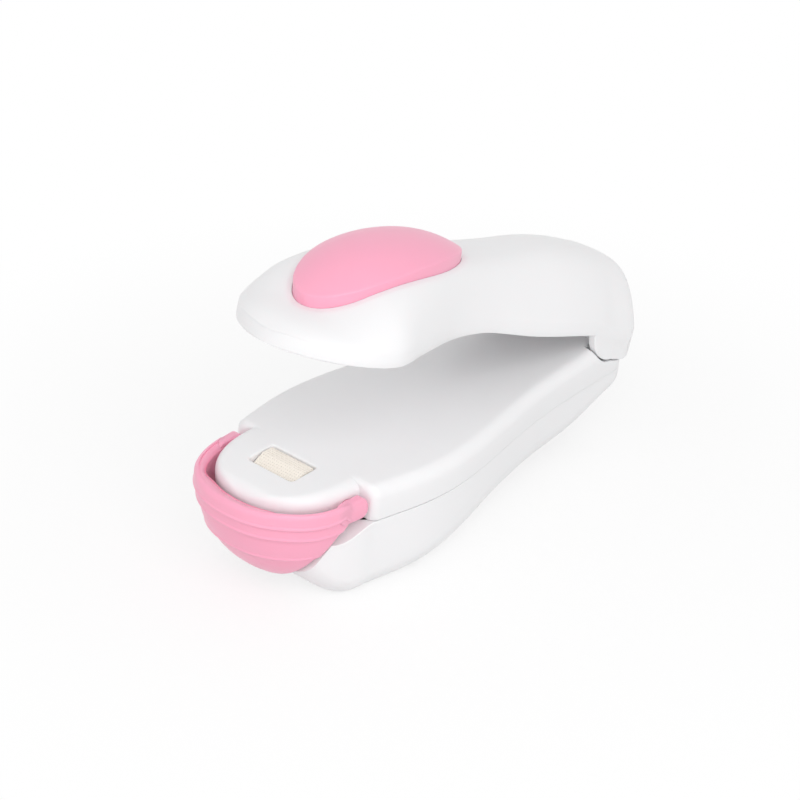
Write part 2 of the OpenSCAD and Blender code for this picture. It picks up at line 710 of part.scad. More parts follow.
// Outline of the closed arm
function arm_half(y) = y < head_y ? head_w / 2 * sup((head_y - y) / head_l, head_n)
  : curve(arm_plan, y) - corner_cut(arm_rear - y, rear_r);
function arm_low(y) = curve(arm_low_line, y);
function arm_top(y) = curve(arm_top_line, y);
function pad_plane(y) = pad_plane_z + tan(pad_tilt) * (y - pad_y);
function arm_roof(y) = min(arm_top(y) - arm_wall,
  y < pad_y + pad_back + 3 ? pad_plane(y) - pad_seat - arm_wall : arm_top(y));

// Section of the arm: an upright band and a dome above it, which meet at a soft crease
dome_steps = [1, 0.97, 0.92, 0.85, 0.76, 0.65, 0.52, 0.36, 0.18, 0];
function dome_half_ring(w, low, band, top, n) = concat([[w, low]],
  [for (f = dome_steps) [w * f, low + band + (top - low - band) * (1 - pow(f, n))]]);
function dome_at(y) = curve(dome_line, y);

arm_steps = concat([for (a = [4, 10, 18, 27, 37, 48, 60, 74]) head_y - head_l * cos(a)],
  [for (t = [head_y : 3.9 : arm_rear - rear_r]) t],
  [for (a = [15 : 15 : 75]) arm_rear - rear_r + rear_r * sin(a)], [arm_rear]);

module arm_form() {
  skin([for (y = arm_steps) mirrored(y, dome_half_ring(arm_half(y), arm_low(y),
    min(rim_band, 0.9 * (arm_top(y) - arm_low(y))), arm_top(y), dome_at(y)))]);
}

// Hollow of the arm, open below
module arm_hollow() {
  steps = [for (y = arm_steps) if (arm_half(y) > arm_wall + 2 && y < arm_rear - arm_wall - 0.2) y];
  skin([for (y = concat(steps, [arm_rear - arm_wall])) let (
      low = arm_low(y),
      shift = y < head_y ? arm_wall * (head_y - y) / head_l : 0)
    mirrored(y + shift, dome_half_ring(arm_half(y) - arm_wall, low - 3, rim_band + 2.3,
      max(arm_roof(y), low + rim_band - 0.3), dome_at(y)))]);
}

spring_stop_y = hinge_y - 11;
liner_screws_y = [9, 28];
liner_screw_r = 0.7;
liner_head_r = 1.5;
boss_r = 2.2;
function liner_z(y) = arm_low(y) + liner_lift;

// Press arm: the moulded lever with its head, neck and hump
module arm_shell() {
  color(white_abs) arm_frame() difference() {
    union() {
      difference() {
        arm_form();
        arm_hollow();
      }
      mirror_pair() intersection() {
        translate([ear_in, hinge_y, hinge_z]) rotate([0, 90, 0]) cylinder(r = ear_r, h = ear_out - ear_in);
        translate([0, hinge_y - ear_r, hinge_z - ear_r]) cube([ear_out, 2 * ear_r, ear_r - 0.8]);
      }
      for (y = liner_screws_y) translate([0, y, liner_z(y) + liner_t + 0.3])
        cylinder(r = boss_r, h = arm_roof(y) - liner_z(y) - liner_t);
      translate([0, spring_stop_y, 0])
        block(2 * spring_half + 5, 1.6, hinge_z + 3.2, arm_roof(spring_stop_y) + 0.5);
    }
    pad_frame() translate([0, 0, -pad_seat]) linear_extrude(20) polygon(egg(pad_clear, 1));
    mirror_pair() translate([ear_in - 1, hinge_y, hinge_z]) rotate([0, 90, 0])
      cylinder(r = pin_d / 2 + pin_fit, h = ear_bore + 1.15);
    for (y = liner_screws_y) translate([0, y, liner_z(y)]) cylinder(r = liner_screw_r + 0.02, h = 5);
  }
}

// Plate that closes the underside of the head and carries the press pad
module arm_liner() {
  inset = arm_wall + 0.25;
  color(white_abs) arm_frame() difference() {
    skin([for (y = arm_steps) let (shift = y < head_y ? inset * (head_y - y) / head_l : 0)
      if (arm_half(y) > inset + 2 && y < liner_end) mirrored(y + shift,
        [[arm_half(y) - inset, liner_z(y)], [arm_half(y) - inset, liner_z(y) + liner_t]])]);
    for (y = liner_screws_y) translate([0, y, liner_z(y) - 1]) cylinder(r = liner_screw_r + 0.1, h = 5);
    translate([0, -window_y, 0]) block(window_w + 1, window_l + 0.8, 0, liner_z(-window_y) + press_seat);
  }
}

module liner_screws() {
  color(steel) arm_frame() for (y = liner_screws_y) translate([0, y, liner_z(y)]) {
    translate([0, 0, -1]) cylinder(r = liner_head_r, h = 0.7);
    translate([0, 0, -0.4]) cylinder(r = liner_screw_r, h = 4.5);
  }
}

// Silicone pad over the heater
press_seat = 0.6;
press_gap = 0.25;
module press_pad() {
  color(silicone) arm_frame() translate([0, -window_y, 0])
    plate(window_w + 0.9, window_l + 0.7, 1, window_z + press_gap, liner_z(-window_y) + press_seat - 0.02);
}

module pad_frame() {
  translate([0, pad_y, pad_plane_z]) rotate([pad_tilt, 0, 0]) children();
}

// Egg-shaped outline of the pad, grown by a clearance and scaled about its widest place
pad_edge = 0.6;
pad_mid = (pad_back - pad_front) / 2;
pad_half = (pad_back + pad_front) / 2;
function egg(grow, size) = [for (a = [-90 : 7.5 : 265]) size * [(pad_w / 2 + grow) * cos(a),
  ((a < 0 || a > 180 ? pad_front : pad_back) + grow) * sin(a)]];
function pad_rise(y) = pad_bow * max(1 - pow((y - pad_mid) / pad_half, 2), 0);

// Pink thumb pad: an upright side, a rounded edge and a domed top, bowed over the head
module thumb_pad() {
  side = pad_seat + pad_side;
  edge = [[0, 1, side - pad_edge], [-0.2, 1, side - 0.2], [-pad_edge, 1, side]];
  dome = [for (s = [0.93, 0.84, 0.72, 0.58, 0.42, 0.25, 0.1])
    [-pad_edge, s, side + pad_dome * (1 - pow(s, 3.2))]];
  foot = [for (p = egg(0, 1)) [-p[0], p[1], 0.03]];
  color(pink_abs) arm_frame() pad_frame() translate([0, 0, -pad_seat])
    skin(concat([foot], [for (r = concat(edge, dome))
      [for (p = egg(r[0], r[1])) [-p[0], p[1], r[2] + pad_rise(p[1])]]]));
}

// Safety catch: a stepped visor that swings on two studs
catch_n = 2.2;
catch_up = 2.8;
rim_fall = 1.2;
arm_wrap = 40;
lobe_r = 1.9;
catch_lip = 1.2;
tiers = [0.2, 0.42, 0.72];
stud_l = 2;
catch_rows = [0, 0.06, 0.13, 0.2, 0.25, 0.33, 0.42, 0.47, 0.56, 0.64, 0.72, 0.77, 0.88, 1];
function stepped(f, i) = i < 0 ? 0 : smooth((f - tiers[i]) / 0.05) + stepped(f, i - 1);
function step_in(f) = catch_step * stepped(f, len(tiers) - 1) + 0.35 * (1 - smooth(f / 0.1));
function lip_in(c, f) = catch_lip * smooth((c - 0.75) / 0.2) * (1 - smooth((f - 0.06) / 0.09));
function chin_at(f) = 1 + chin_grow * smooth((f - 0.1) / 0.9);
function catch_down(c) = arm_wrap + (chin_wrap - arm_wrap) * c * c;
function catch_point(x, r, a) = [x, -pivot_y - r * cos(a), pivot_z - r * sin(a)];
function catch_ring(t) = let (
    c = pow(cos(t), 2 / catch_n),
    s = sign(t) * pow(abs(sin(t)), 2 / catch_n),
    ro = catch_r * c,
    ri = (catch_r - catch_t) * c,
    down = catch_down(c),
    up = catch_up - 0.4 * (1 - smooth((c - 0.45) / 0.4)),
    up_o = asin(min(0.9, up / ro)),
    up_i = asin(min(0.9, (up - rim_fall) / ri)),
    fade = smooth((c - 0.3) / 0.5))
  concat([for (f = catch_rows) catch_point(catch_w / 2 * s, ro * chin_at(f) - fade * step_in(f),
      f * (down + up_o) - up_o)],
    [for (i = [len(catch_rows) - 1 : -1 : 0]) let (f = catch_rows[i])
      catch_point((catch_w / 2 - catch_t) * s, ri * chin_at(f) - lip_in(c, f), f * (down + up_i) - up_i)]);

// Skin over rings that are bands of two facing edges
module band_skin(rings) {
  n = len(rings[0]);
  m = len(rings);
  h = n / 2;
  sides = [for (i = [0 : m - 2], j = [0 : n - 1]) let (a = i * n + j, b = i * n + (j + 1) % n)
    each [[a, b + n, b], [a, a + n, b + n]]];
  ends = [for (e = [0, (m - 1) * n], k = [0 : h - 2]) let (
      a = e + k, b = e + k + 1, c = e + n - 2 - k, d = e + n - 1 - k)
    each e == 0 ? [[a, b, c], [a, c, d]] : [[a, c, b], [a, d, c]]];
  polyhedron([for (r = rings) each r], concat(sides, ends), convexity = 8);
}

catch_steps = [for (i = [-19 : 19]) i * 86 / 19];
module safety_catch() {
  color(pink_abs) {
    band_skin([for (t = catch_steps) catch_ring(t)]);
    mirror_pair() translate([catch_w / 2 - catch_t, -pivot_y, pivot_z]) rotate([0, 90, 0]) {
      cylinder(r = lobe_r, h = catch_t);
      translate([0, 0, -stud_l]) cylinder(r = stud_d / 2, h = stud_l + 0.2);
    }
  }
}

lower_shell();
upper_shell();
battery_door();
case_screws();
door_screw();
hinge_pin();
arm_spring();
battery_left();
battery_right();
contact_bridge();
contact_positive();
contact_negative();
contact_leaves();
red_wire();
black_wire();
heater_springs();
arm_shell();
arm_liner();
liner_screws();
thumb_pad();
press_pad();
safety_catch();
heater_carrier();
heater_strip();
heater_cloth();
heater_terminals();
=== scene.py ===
"""Mini bag sealer: smooth shells, pads, catch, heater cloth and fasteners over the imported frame."""

import math

import bmesh
import bpy
import numpy as np
from mathutils import Matrix, Vector


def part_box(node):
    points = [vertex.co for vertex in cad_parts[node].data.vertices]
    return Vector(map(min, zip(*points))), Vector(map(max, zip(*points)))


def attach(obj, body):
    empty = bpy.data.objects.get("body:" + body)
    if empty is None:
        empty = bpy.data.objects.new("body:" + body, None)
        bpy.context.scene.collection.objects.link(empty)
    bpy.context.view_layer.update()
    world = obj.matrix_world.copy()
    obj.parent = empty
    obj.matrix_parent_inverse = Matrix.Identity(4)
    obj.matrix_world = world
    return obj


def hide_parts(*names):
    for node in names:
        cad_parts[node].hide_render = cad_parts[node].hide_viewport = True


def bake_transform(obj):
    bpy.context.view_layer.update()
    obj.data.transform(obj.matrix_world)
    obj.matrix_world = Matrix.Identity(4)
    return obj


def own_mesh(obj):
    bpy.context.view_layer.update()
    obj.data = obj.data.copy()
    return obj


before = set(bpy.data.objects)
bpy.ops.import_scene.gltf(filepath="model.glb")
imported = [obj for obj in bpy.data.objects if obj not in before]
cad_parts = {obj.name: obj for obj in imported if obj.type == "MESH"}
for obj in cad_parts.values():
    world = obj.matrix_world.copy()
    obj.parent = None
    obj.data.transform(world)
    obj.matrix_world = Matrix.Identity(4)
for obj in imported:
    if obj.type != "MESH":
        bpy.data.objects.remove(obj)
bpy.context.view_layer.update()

bl_info = {
    "name": "Mini Bag Sealer",
    "version": (1, 0, 0),
    "blender": (4, 5, 0),
    "location": "View3D > Sidebar > Bag Sealer",
    "description": "Builds the shells, pads, catch, heater cloth and fasteners of a pocket bag sealer",
    "category": "Object",
}

MM = 0.001


def length(name, description, mm):
    """A length property whose default is given in millimetres."""
    return bpy.props.FloatProperty(
        name=name, description=description, default=mm * MM, min=0.0, unit="LENGTH", precision=5)


def number(name, description, default):
    """A plain number property."""
    return bpy.props.FloatProperty(name=name, description=description, default=default)


def power(name, description, watts):
    """A property for the power of a lamp."""
    return bpy.props.FloatProperty(name=name, description=description, default=watts, unit="POWER")


def colour(name, description, default):
    """A colour property, without alpha."""
    return bpy.props.FloatVectorProperty(
        name=name, description=description, default=default, subtype="COLOR", size=3, min=0.0, max=1.0)


class SealerBase(bpy.types.PropertyGroup):
    """Sizes of the base."""

    body_l: length("Body length", "From the shoulder to the stern", 76.6)
    shoulder_w: length("Shoulder width", "Width where the nose begins", 34.8)
    beam_w: length("Beam", "Greatest width of the base", 39.4)
    beam_y: length("Beam place", "Distance from the shoulder to the greatest width", 13.0)
    beam_end_y: length("Beam end", "Where the base starts to narrow", 24.0)
    waist_w: length("Waist width", "Width of the waist", 29.0)
    waist_y: length("Waist place", "Where the waist is measured", 48.0)
    stern_w: length("Stern width", "Width at the stern", 23.6)
    deck_z: length("Deck height", "Height of the deck", 21.8)
    seam_z: length("Seam height", "Height of the seam between the shells", 14.5)
    deck_edge_r: length("Deck edge", "Rounding of the deck edge", 2.4)
    bilge_r: length("Bow bilge", "Rounding of the lower edge at the bow", 4.6)
    waist_bilge_r: length("Waist bilge", "Rounding of the lower edge at the waist", 11.5)
    wall: length("Wall", "Wall of both shells", 1.6)
    stern_rise: length("Stern rise", "Rise of the underside at the stern", 9.6)
    nose_w: length("Nose width", "Width of the nose behind the catch", 27.6)
    nose_l: length("Nose length", "Length of the nose", 15.4)
    nose_drop: length("Nose droop", "How far the nose droops at its tip", 0.9)
    window_w: length("Window width", "Width of the heater window", 11.0)
    window_l: length("Window length", "Length of the heater window", 6.2)
    window_y: length("Window place", "From the shoulder to the middle of the window", 5.2)


class SealerArm(bpy.types.PropertyGroup):
    """Sizes of the press arm and its thumb pad."""

    arm_open: bpy.props.FloatProperty(
        name="Open angle", description="Angle of the open arm", default=math.radians(17.5), subtype="ANGLE")
    head_w: length("Head width", "Width of the arm's head", 35.4)
    head_l: length("Head length", "From the widest part of the head to its tip", 15.6)
    neck_w: length("Neck width", "Width of the arm's neck", 21.8)
    hump_w: length("Hump width", "Width of the arm over the hinge", 24.8)
    head_h: length("Head height", "Height of the head above the deck, arm closed", 13.1)
    hump_h: length("Hump height", "Height of the hump above the deck, arm closed", 16.4)
    rim_band: length("Rim band", "Height of the plain band round the head", 2.7)
    arm_wall: length("Arm wall", "Wall of the arm", 1.5)
    tip_gap: length("Tip gap", "Gap under the closed arm's tip", 0.7)
    pad_w: length("Pad width", "Width of the thumb pad", 19.2)
    pad_front: length("Pad front", "From the widest part of the pad to its front end", 16.5)
    pad_back: length("Pad back", "From the widest part of the pad to its rear end", 21.1)
    pad_seat: length("Pad seat", "Depth of the recess at the ends of the pad", 0.6)
    pad_side: length("Pad side", "Height of the pad's side above the arm", 1.5)
    pad_dome: length("Pad dome", "Rise of the pad's top", 3.5)
    pad_bow: length("Pad bow", "Rise of the pad's edge in the middle of its length", 3.2)


class SealerCatch(bpy.types.PropertyGroup):
    """Sizes of the safety catch and the heater."""

    catch_r: length("Reach", "Reach of the catch in front of its pivot", 16.5)
    catch_play: length("Play", "Play between the nose and the catch, on each side", 0.6)
    catch_t: length("Wall", "Wall of the catch", 2.2)
    stud_d: length("Stud", "Diameter of the pivot studs", 3.0)
    pivot_y: length("Pivot place", "From the shoulder to the pivot", 3.2)
    pivot_drop: length("Pivot drop", "Depth of the pivot below the deck", 4.2)
    chin_wrap: number("Chin wrap", "How far the chin wraps under the nose, in degrees", 60.0)
    chin_grow: number("Chin growth", "How much fuller the catch is at its chin", 0.1)
    catch_step: length("Step", "Height of each step on the catch", 0.45)
    yarn: length("Yarn pitch", "Spacing of the yarns in the heater cloth", 0.55)


class SealerLook(bpy.types.PropertyGroup):
    """Colours and stage."""

    white: colour("White", "Colour of the moulded shells", (0.90, 0.895, 0.905))
    pink: colour("Pink", "Colour of the pad and the catch", (1.0, 0.42, 0.57))
    cloth: colour("Cloth", "Colour of the heater cloth", (0.93, 0.87, 0.79))
    floor: colour("Floor", "Colour of the floor", (0.80, 0.80, 0.80))
    sky: number("Sky", "Strength of the light from all round", 0.65)
    right: power("Right light", "Power of the lamp on the right", 1.5)
    front: power("Front light", "Power of the lamp in front", 0.4)


def sup(t, n):
    """Height of a unit superellipse at t."""
    return max(1.0 - abs(t) ** n, 0.0) ** (1.0 / n)


def smooth(t):
    """Smooth step from 0 to 1."""
    u = min(max(t, 0.0), 1.0)
    return u * u * (3.0 - 2.0 * u)


def curve(s, t):
    """Smooth curve through (place, value) stations."""
    q = min(max(t, s[0][0]), s[-1][0])
    i = 0
    while i < len(s) - 2 and q >= s[i + 1][0]:
        i += 1

    def slope(k):
        a, b = max(k - 1, 0), min(k + 1, len(s) - 1)
        return (s[b][1] - s[a][1]) / (s[b][0] - s[a][0])

    h = s[i + 1][0] - s[i][0]
    u = (q - s[i][0]) / h
    return ((2 * u ** 3 - 3 * u * u + 1) * s[i][1] + (u ** 3 - 2 * u * u + u) * h * slope(i)
            + (3 * u * u - 2 * u ** 3) * s[i + 1][1] + (u ** 3 - u * u) * h * slope(i + 1))


def corner_cut(d, r):
    """How far a rounded corner draws in at a distance from its end."""
    if d >= r:
        return 0.0
    return r - math.sqrt(max(r * r - (r - max(d, 0.0)) ** 2, 0.0))


def mirrored(y, half):
    """Ring from the (x, z) points of its right-hand half, listed from below."""
    ring = [(x, y, z) for x, z in half]
    ring += [(-x, y, z) for x, z in reversed(half) if x > 1e-6]
    return ring


class Shape:
    """Outline of the sealer in millimetres, from the panel's sizes and the lesser ones kept here."""

    # Base
    crown = 0.7
    corner_r = 1.4
    shoulder_r = 1.2
    stern_r = 5.0
    nose_n = 2.4
    bow_n = 1.9
    rim_drop = 2.5
    rim_run = 7.0
    seam_gap = 0.15
    seam_gap_rear = 0.03
    seam_edge = 0.1
    seam_edge_rear = 0.02
    seam_from = 6.0
    seam_run = 22.0
    gap = 0.4
    hinge_back = 6.1
    hinge_up = 2.2
    door_start = 3.2
    door_corner = 2.0
    window_rim = 0.4
    window_corner = 0.7

    # Arm and thumb pad
    head_y = 3.0
    head_n = 1.62
    rear_r = 5.0
    arm_past = 9.5
    ear_in = 10.1
    ear_r = 6.0
    ear_clear = 0.3
    pad_y = 11.1
    pad_tilt = 11.7
    pad_sink = 3.1
    pad_clear = 0.1
    pad_edge = 0.4
    pad_shoulder = 0.5
    pad_lift = 0.5
    pad_power = 2.4
    dish_w = 1.3
    dish_deep = 0.3

    # Safety catch
    catch_n = 2.2
    catch_up = 2.8
    rim_fall = 1.2
    tiers = (0.15, 0.275, 0.53)
    arm_wrap = 46.0
    plan_turn = 86.0
    room_out = 8.0
    room_turn = 3.0
    room_top = 80.0
    stud_play = 0.1

    # Heater cloth
    cloth_t = 0.25
    cloth_play = 0.65
    cloth_fold = 1.2
    film_t = 0.05

    def __init__(self, scene):
        for group in (scene.sealer_base, scene.sealer_arm, scene.sealer_catch):
            for key, prop in group.bl_rna.properties.items():
                if prop.type == "FLOAT":
                    scale = 1000.0 if prop.unit == "LENGTH" else 1.0
                    setattr(self, key, getattr(group, key) * scale)
        self.open_deg = math.degrees(self.arm_open)
        self.hinge_y = self.body_l - self.hinge_back
        self.hinge_z = self.deck_z + self.hinge_up
        self.pivot_z = self.deck_z - self.pivot_drop
        self.catch_w = self.nose_w + 2 * (self.catch_t + self.catch_play)
        self.catch_in = self.catch_w / 2 - self.catch_t
        self.bow_r = self.catch_r - self.catch_t - self.gap
        rim_below = self.pivot_z - self.seam_z + self.rim_drop
        self.bow_l = self.pivot_y + math.sqrt(self.bow_r ** 2 - rim_below ** 2)
        self.arm_tip = self.head_y - self.head_l
        self.arm_rear = self.hinge_y + self.arm_past
        self.pad_plane_z = self.deck_z + self.head_h - self.pad_sink
        self.draw_base_lines()
        self.draw_arm_lines()

    def draw_base_lines(self):
        """Curves of the base, as (distance behind the shoulder, value)."""
        end, waist, hinge = self.body_l, self.waist_y, self.hinge_y
        bilge = self.waist_bilge_r
        self.lean_line = [(0, 0.05), (self.beam_y, 0.06), (waist, 0.1), (end, 0.05)]
        self.bilge_line = [(-5, self.bilge_r), (self.beam_y - 3, self.bilge_r + 1.4),
                           (self.beam_end_y + 2, bilge - 1.5), (36, bilge), (waist, bilge - 3),
                           (60, 6.4), (end, 6)]
        self.base_plan = [(0, self.shoulder_w / 2), (self.beam_y, self.beam_w / 2),
                          (self.beam_end_y, self.beam_w / 2 - 0.5), (waist, self.waist_w / 2),
                          (end, self.stern_w / 2)]
        bow = [self.catch_point(0, self.bow_r, a)[1:] for a in (24, 36, 47, 56)]
        self.keel_line = bow + [(-8.6, 3.2), (-6.4, 1.2), (-4, 0), (-2, -0.3), (35, -0.3), (waist, 2.2),
                                (hinge - 10, 0.46 * self.stern_rise), (hinge - 1.5, 0.74 * self.stern_rise),
                                (end, self.stern_rise)]

    def draw_arm_lines(self):
        """Curves of the closed arm, as (distance behind the shoulder, value)."""
        d, tip_y, hinge, rear = self.deck_z, self.arm_tip, self.hinge_y, self.arm_rear
        head, hump = d + self.head_h, d + self.hump_h
        tip = self.deck_at(tip_y) + self.tip_gap
        self.arm_plan = [(self.head_y - 8, self.head_w / 2 - 1.2), (self.head_y, self.head_w / 2),
                         (11, self.head_w / 2 - 2.2), (23.5, self.neck_w / 2 + 1), (35, self.neck_w / 2),
                         (47, (self.neck_w + self.hump_w) / 4), (58, self.hump_w / 2),
                         (rear, self.hump_w / 2)]
        self.arm_low_line = [(tip_y, tip), (0, d + self.tip_gap), (10, d + 1.8), (23.5, d + 2.8), (33, d + 3),
                             (40, d + 2.4), (48, d + 1.7), (60, d + 1.4), (hinge - 4.5, d + 1),
                             (hinge, d - 0.6), (rear, d - 0.7)]
        self.arm_top_line = [(tip_y, tip + self.rim_band), (tip_y + 2.2, head - 8.5), (-8, head - 7.4),
                             (-5, head - 6.3), (-1, head - 3.9), (self.head_y, head - 1.4), (8, head + 0.7),
                             (13, head + 1.8), (19, head + 2.4), (26, head + 2.4), (34, head + 2.3),
                             (44, hump - 0.6), (54, hump), (hinge - 8.5, hump - 0.3),
                             (hinge - 1.5, hump - 1.2), (hinge + 3.5, hump - 2.2),
                             (hinge + 7, hump - 4.3), (rear, hump - 9.6)]
        self.dome_line = [(tip_y, 3), (-6, 3.6), (0, 4.4), (8, 5), (22, 6.2), (32, 5.0), (48, 3.5),
                          (rear, 3.4)]

    def deck_at(self, y):
        return self.deck_z - (self.nose_drop * (y / self.nose_l) ** 2 if y < 0 else 0.0)

    def crown_at(self, x):
        return self.crown * (2 * x / self.beam_w) ** 2

    def stern_half(self, y):
        return curve(self.base_plan, y) - corner_cut(self.body_l - y, self.stern_r)

    def nose_half(self, y):
        return self.nose_w / 2 * sup(y / self.nose_l, self.nose_n)

    def bow_half(self, y):
        return self.shoulder_w / 2 * sup(y / self.bow_l, self.bow_n)

    def rim_at(self, y):
        return self.seam_z - self.rim_drop * smooth(-y / self.rim_run)

    def seam_at(self, y):
        """Gap, then edge break, of the seam between the shells: both fade towards the rear."""
        fade = 1 - smooth((y - self.seam_from) / self.seam_run)
        gap = self.seam_gap_rear + (self.seam_gap - self.seam_gap_rear) * fade
        return gap, self.seam_edge_rear + (self.seam_edge - self.seam_edge_rear) * fade

    def lean_at(self, y):
        return curve(self.lean_line, y)

    def bilge_at(self, y):
        return curve(self.bilge_line, y)

    def keel_at(self, y):
        return curve(self.keel_line, y)

    def side_x(self, w, z, lean):
        return w - lean * (self.deck_z - z)

    def deck_half_ring(self, w, top, foot, edge, lean, lip=0.1):
        """Section of the upper shell, from its foot to the middle of the deck."""
        r = min(edge, 0.6 * w)
        flat = w - r
        ze = top - self.crown_at(flat) - r
        sx = self.side_x(w, foot, lean)
        pts = [(sx - lip, foot)] if lip > 0 else []
        z0 = foot + lip
        pts += [(sx + (w - sx) * k / 4, z0 + (ze - z0) * k / 4) for k in range(4)]
        pts += [(flat + r * math.cos(a), ze + r * math.sin(a)) for a in np.linspace(0, math.pi / 2, 9)]
        pts += [(flat * (1 - k / 14), top - self.crown_at(flat * (1 - k / 14))) for k in range(1, 15)]
        return pts

    def tub_half_ring(self, w, top, keel, edge, lean, lip=0.1):
        """Section of the lower shell, from the keel to its rim."""
        r = min(edge, 0.7 * w, 0.86 * (top - keel))
        cx = self.side_x(w, keel + r, lean) - r
        pts = [(0.0, keel), (cx / 2, keel)]
        pts += [(cx + r * math.cos(a), keel + r + r * math.sin(a)) for a in np.linspace(-math.pi / 2, 0, 14)]
        sx = self.side_x(w, top, lean)
        x = pts[-1][0]
        pts += [(x + (sx - x) * k / 3, keel + r + (top - lip - keel - r) * k / 3) for k in (1, 2, 3)]
        if lip > 0:
            pts.append((sx - lip, top))
        pts.append((0.0, top))
        return [(x, max(z, 0.0)) for x, z in pts]

    def arm_half(self, y):
        if y < self.head_y:
            return self.head_w / 2 * math.sqrt(max(1 - ((self.head_y - y) / self.head_l) ** self.head_n, 0.0))
        return curve(self.arm_plan, y) - corner_cut(self.arm_rear - y, self.rear_r)

    def arm_low(self, y):
        return curve(self.arm_low_line, y)

    def arm_top(self, y):
        return curve(self.arm_top_line, y)

    def pad_plane(self, y):
        return self.pad_plane_z + math.tan(math.radians(self.pad_tilt)) * (y - self.pad_y)

    def arm_roof(self, y):
        roof = self.arm_top(y) - self.arm_wall
        if y < self.pad_y + self.pad_back + 3:
            roof = min(roof, self.pad_plane(y) - self.pad_seat - self.arm_wall)
        return roof

    def dome_half_ring(self, y, w, low, band, top, lip=0.0, steps=40):
        """Section of the arm: an upright band and a dome above it."""
        pts = [(0.0, low)]
        if lip > 0:
            lip = min(lip, 0.4 * w)
            pts += [(w - lip, low), (w - 0.3 * lip, low + 0.3 * lip)]
        pts += [(w, low + lip), (w, low + 0.5 * (band + lip)), (w, low + band - 0.15),
                (w - 0.05, low + band + 0.14)]
        crowding, fuller, rounder = 1.35, 0.32, 1.9
        fs = 1 - np.linspace(0, 1, steps)[1:] ** crowding
        full = 1 + fuller * (1 - smooth((y - 2) / 16))
        n = curve(self.dome_line, y) - rounder * (full - 1)
        pts += [(w * f, low + band + (top - low - band) * (1 - f ** n) ** (1 / full)) for f in fs]
        return pts

    def egg(self, grow, size=1.0, steps=144):
        """Outline of the pad, counter-clockwise."""
        out = []
        for a in np.linspace(-math.pi / 2, 1.5 * math.pi, steps, endpoint=False):
            reach = (self.pad_front if math.sin(a) < 0 else self.pad_back) + grow
            out.append((size * (self.pad_w / 2 + grow) * math.cos(a), size * reach * math.sin(a)))
        return out

    def pad_rise(self, y):
        mid, half = (self.pad_back - self.pad_front) / 2, (self.pad_back + self.pad_front) / 2
        lift_from = 4.0
        bow = self.pad_bow * max(1 - ((y - mid) / half) ** 2, 0.0)
        return bow + self.pad_lift * smooth((y - lift_from) / (self.pad_back - lift_from))

    def dish(self, x, y, z):
        """How far the closed arm's skin sinks beside the pad."""
        t = math.radians(self.pad_tilt)
        v = (y - self.pad_y) * math.cos(t) + (z - self.pad_plane_z) * math.sin(t)
        share = math.hypot(2 * x / self.pad_w, v / (self.pad_front if v < 0 else self.pad_back))
        away = math.hypot(x, v) * (1 - 1 / max(share, 0.01)) - self.pad_clear
        return self.dish_deep * smooth(1 - away / self.dish_w)

    def arm_turn(self, deg):
        """Turns the arm about its hinge, in millimetres."""
        to = Matrix.Translation((0, self.hinge_y, self.hinge_z))
        return to @ Matrix.Rotation(math.radians(deg), 4, "X") @ to.inverted()

    def arm_matrix(self):
        """Turns a closed arm to its open rest place, in millimetres."""
        return self.arm_turn(-self.open_deg)

    def pad_matrix(self):
        """Puts a pad that lies on the XY plane into its seat on the open arm, in millimetres."""
        tilt = Matrix.Rotation(math.radians(self.pad_tilt), 4, "X")
        seat = Matrix.Translation((0, self.pad_y, self.pad_plane_z)) @ tilt
        return self.arm_matrix() @ seat @ Matrix.Translation((0, 0, -self.pad_seat))

    def catch_point(self, x, r, deg):
        a = math.radians(deg)
        return (x, -self.pivot_y - r * math.cos(a), self.pivot_z - r * math.sin(a))

    def catch_down(self, c):
        return self.arm_wrap + (self.chin_wrap - self.arm_wrap) * c * c


def in_metres(matrix):
    """The same placement for a mesh that is already in metres."""
    out = matrix.copy()
    out.translation = matrix.translation * MM
    return out


def box_mm(node):
    """Lowest and highest corner of a CAD node, in millimetres."""
    return tuple(np.array(v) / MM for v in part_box(node))


def linked(name, data):
    """New object in the scene."""
    obj = bpy.data.objects.new(name, data)
    bpy.context.scene.collection.objects.link(obj)
    return obj


def face_outward(mesh, merge=0.0):
    """Turns the faces of a mesh outward, after merging points that are closer than a distance in metres."""
    bm = bmesh.new()
    bm.from_mesh(mesh)
    if merge > 0:
        bmesh.ops.remove_doubles(bm, verts=bm.verts, dist=merge)
    bmesh.ops.recalc_face_normals(bm, faces=bm.faces)
    bm.to_mesh(mesh)
    bm.free()


def mesh_object(name, points, faces, matrix=None):
    """Closed mesh object from points in millimetres, with its faces turned outward."""
    v = np.asarray(points, float)
    if matrix is not None:
        m = np.array(matrix)
        v = v @ m[:3, :3].T + m[:3, 3]
    mesh = bpy.data.meshes.new(name)
    mesh.from_pydata((v * MM).tolist(), [], faces)
    face_outward(mesh, 1e-7)
    return linked(name, mesh)


def quads(rings):
    """Faces between closed rings that have the same number of points."""
    n = len(rings[0])
    return [(i * n + j, i * n + (j + 1) % n, (i + 1) * n + (j + 1) % n, (i + 1) * n + j)
            for i in range(len(rings) - 1) for j in range(n)]


def skin(name, rings, matrix=None):
    """Skin over closed rings, with one face over each end."""
    n = len(rings[0])
    ends = [tuple(e + j for j in range(n)) for e in (0, (len(rings) - 1) * n)]
    return mesh_object(name, [p for ring in rings for p in ring], quads(rings) + ends, matrix)


def band(name, rings):
    """Skin over rings that are thin closed bands, with strips of quads over the two ends."""
    n = len(rings[0])
    ends = [(e + k, e + k + 1, e + n - 2 - k, e + n - 1 - k)
            for e in (0, (len(rings) - 1) * n) for k in range(n // 2 - 1)]
    return mesh_object(name, [p for ring in rings for p in ring], quads(rings) + ends)


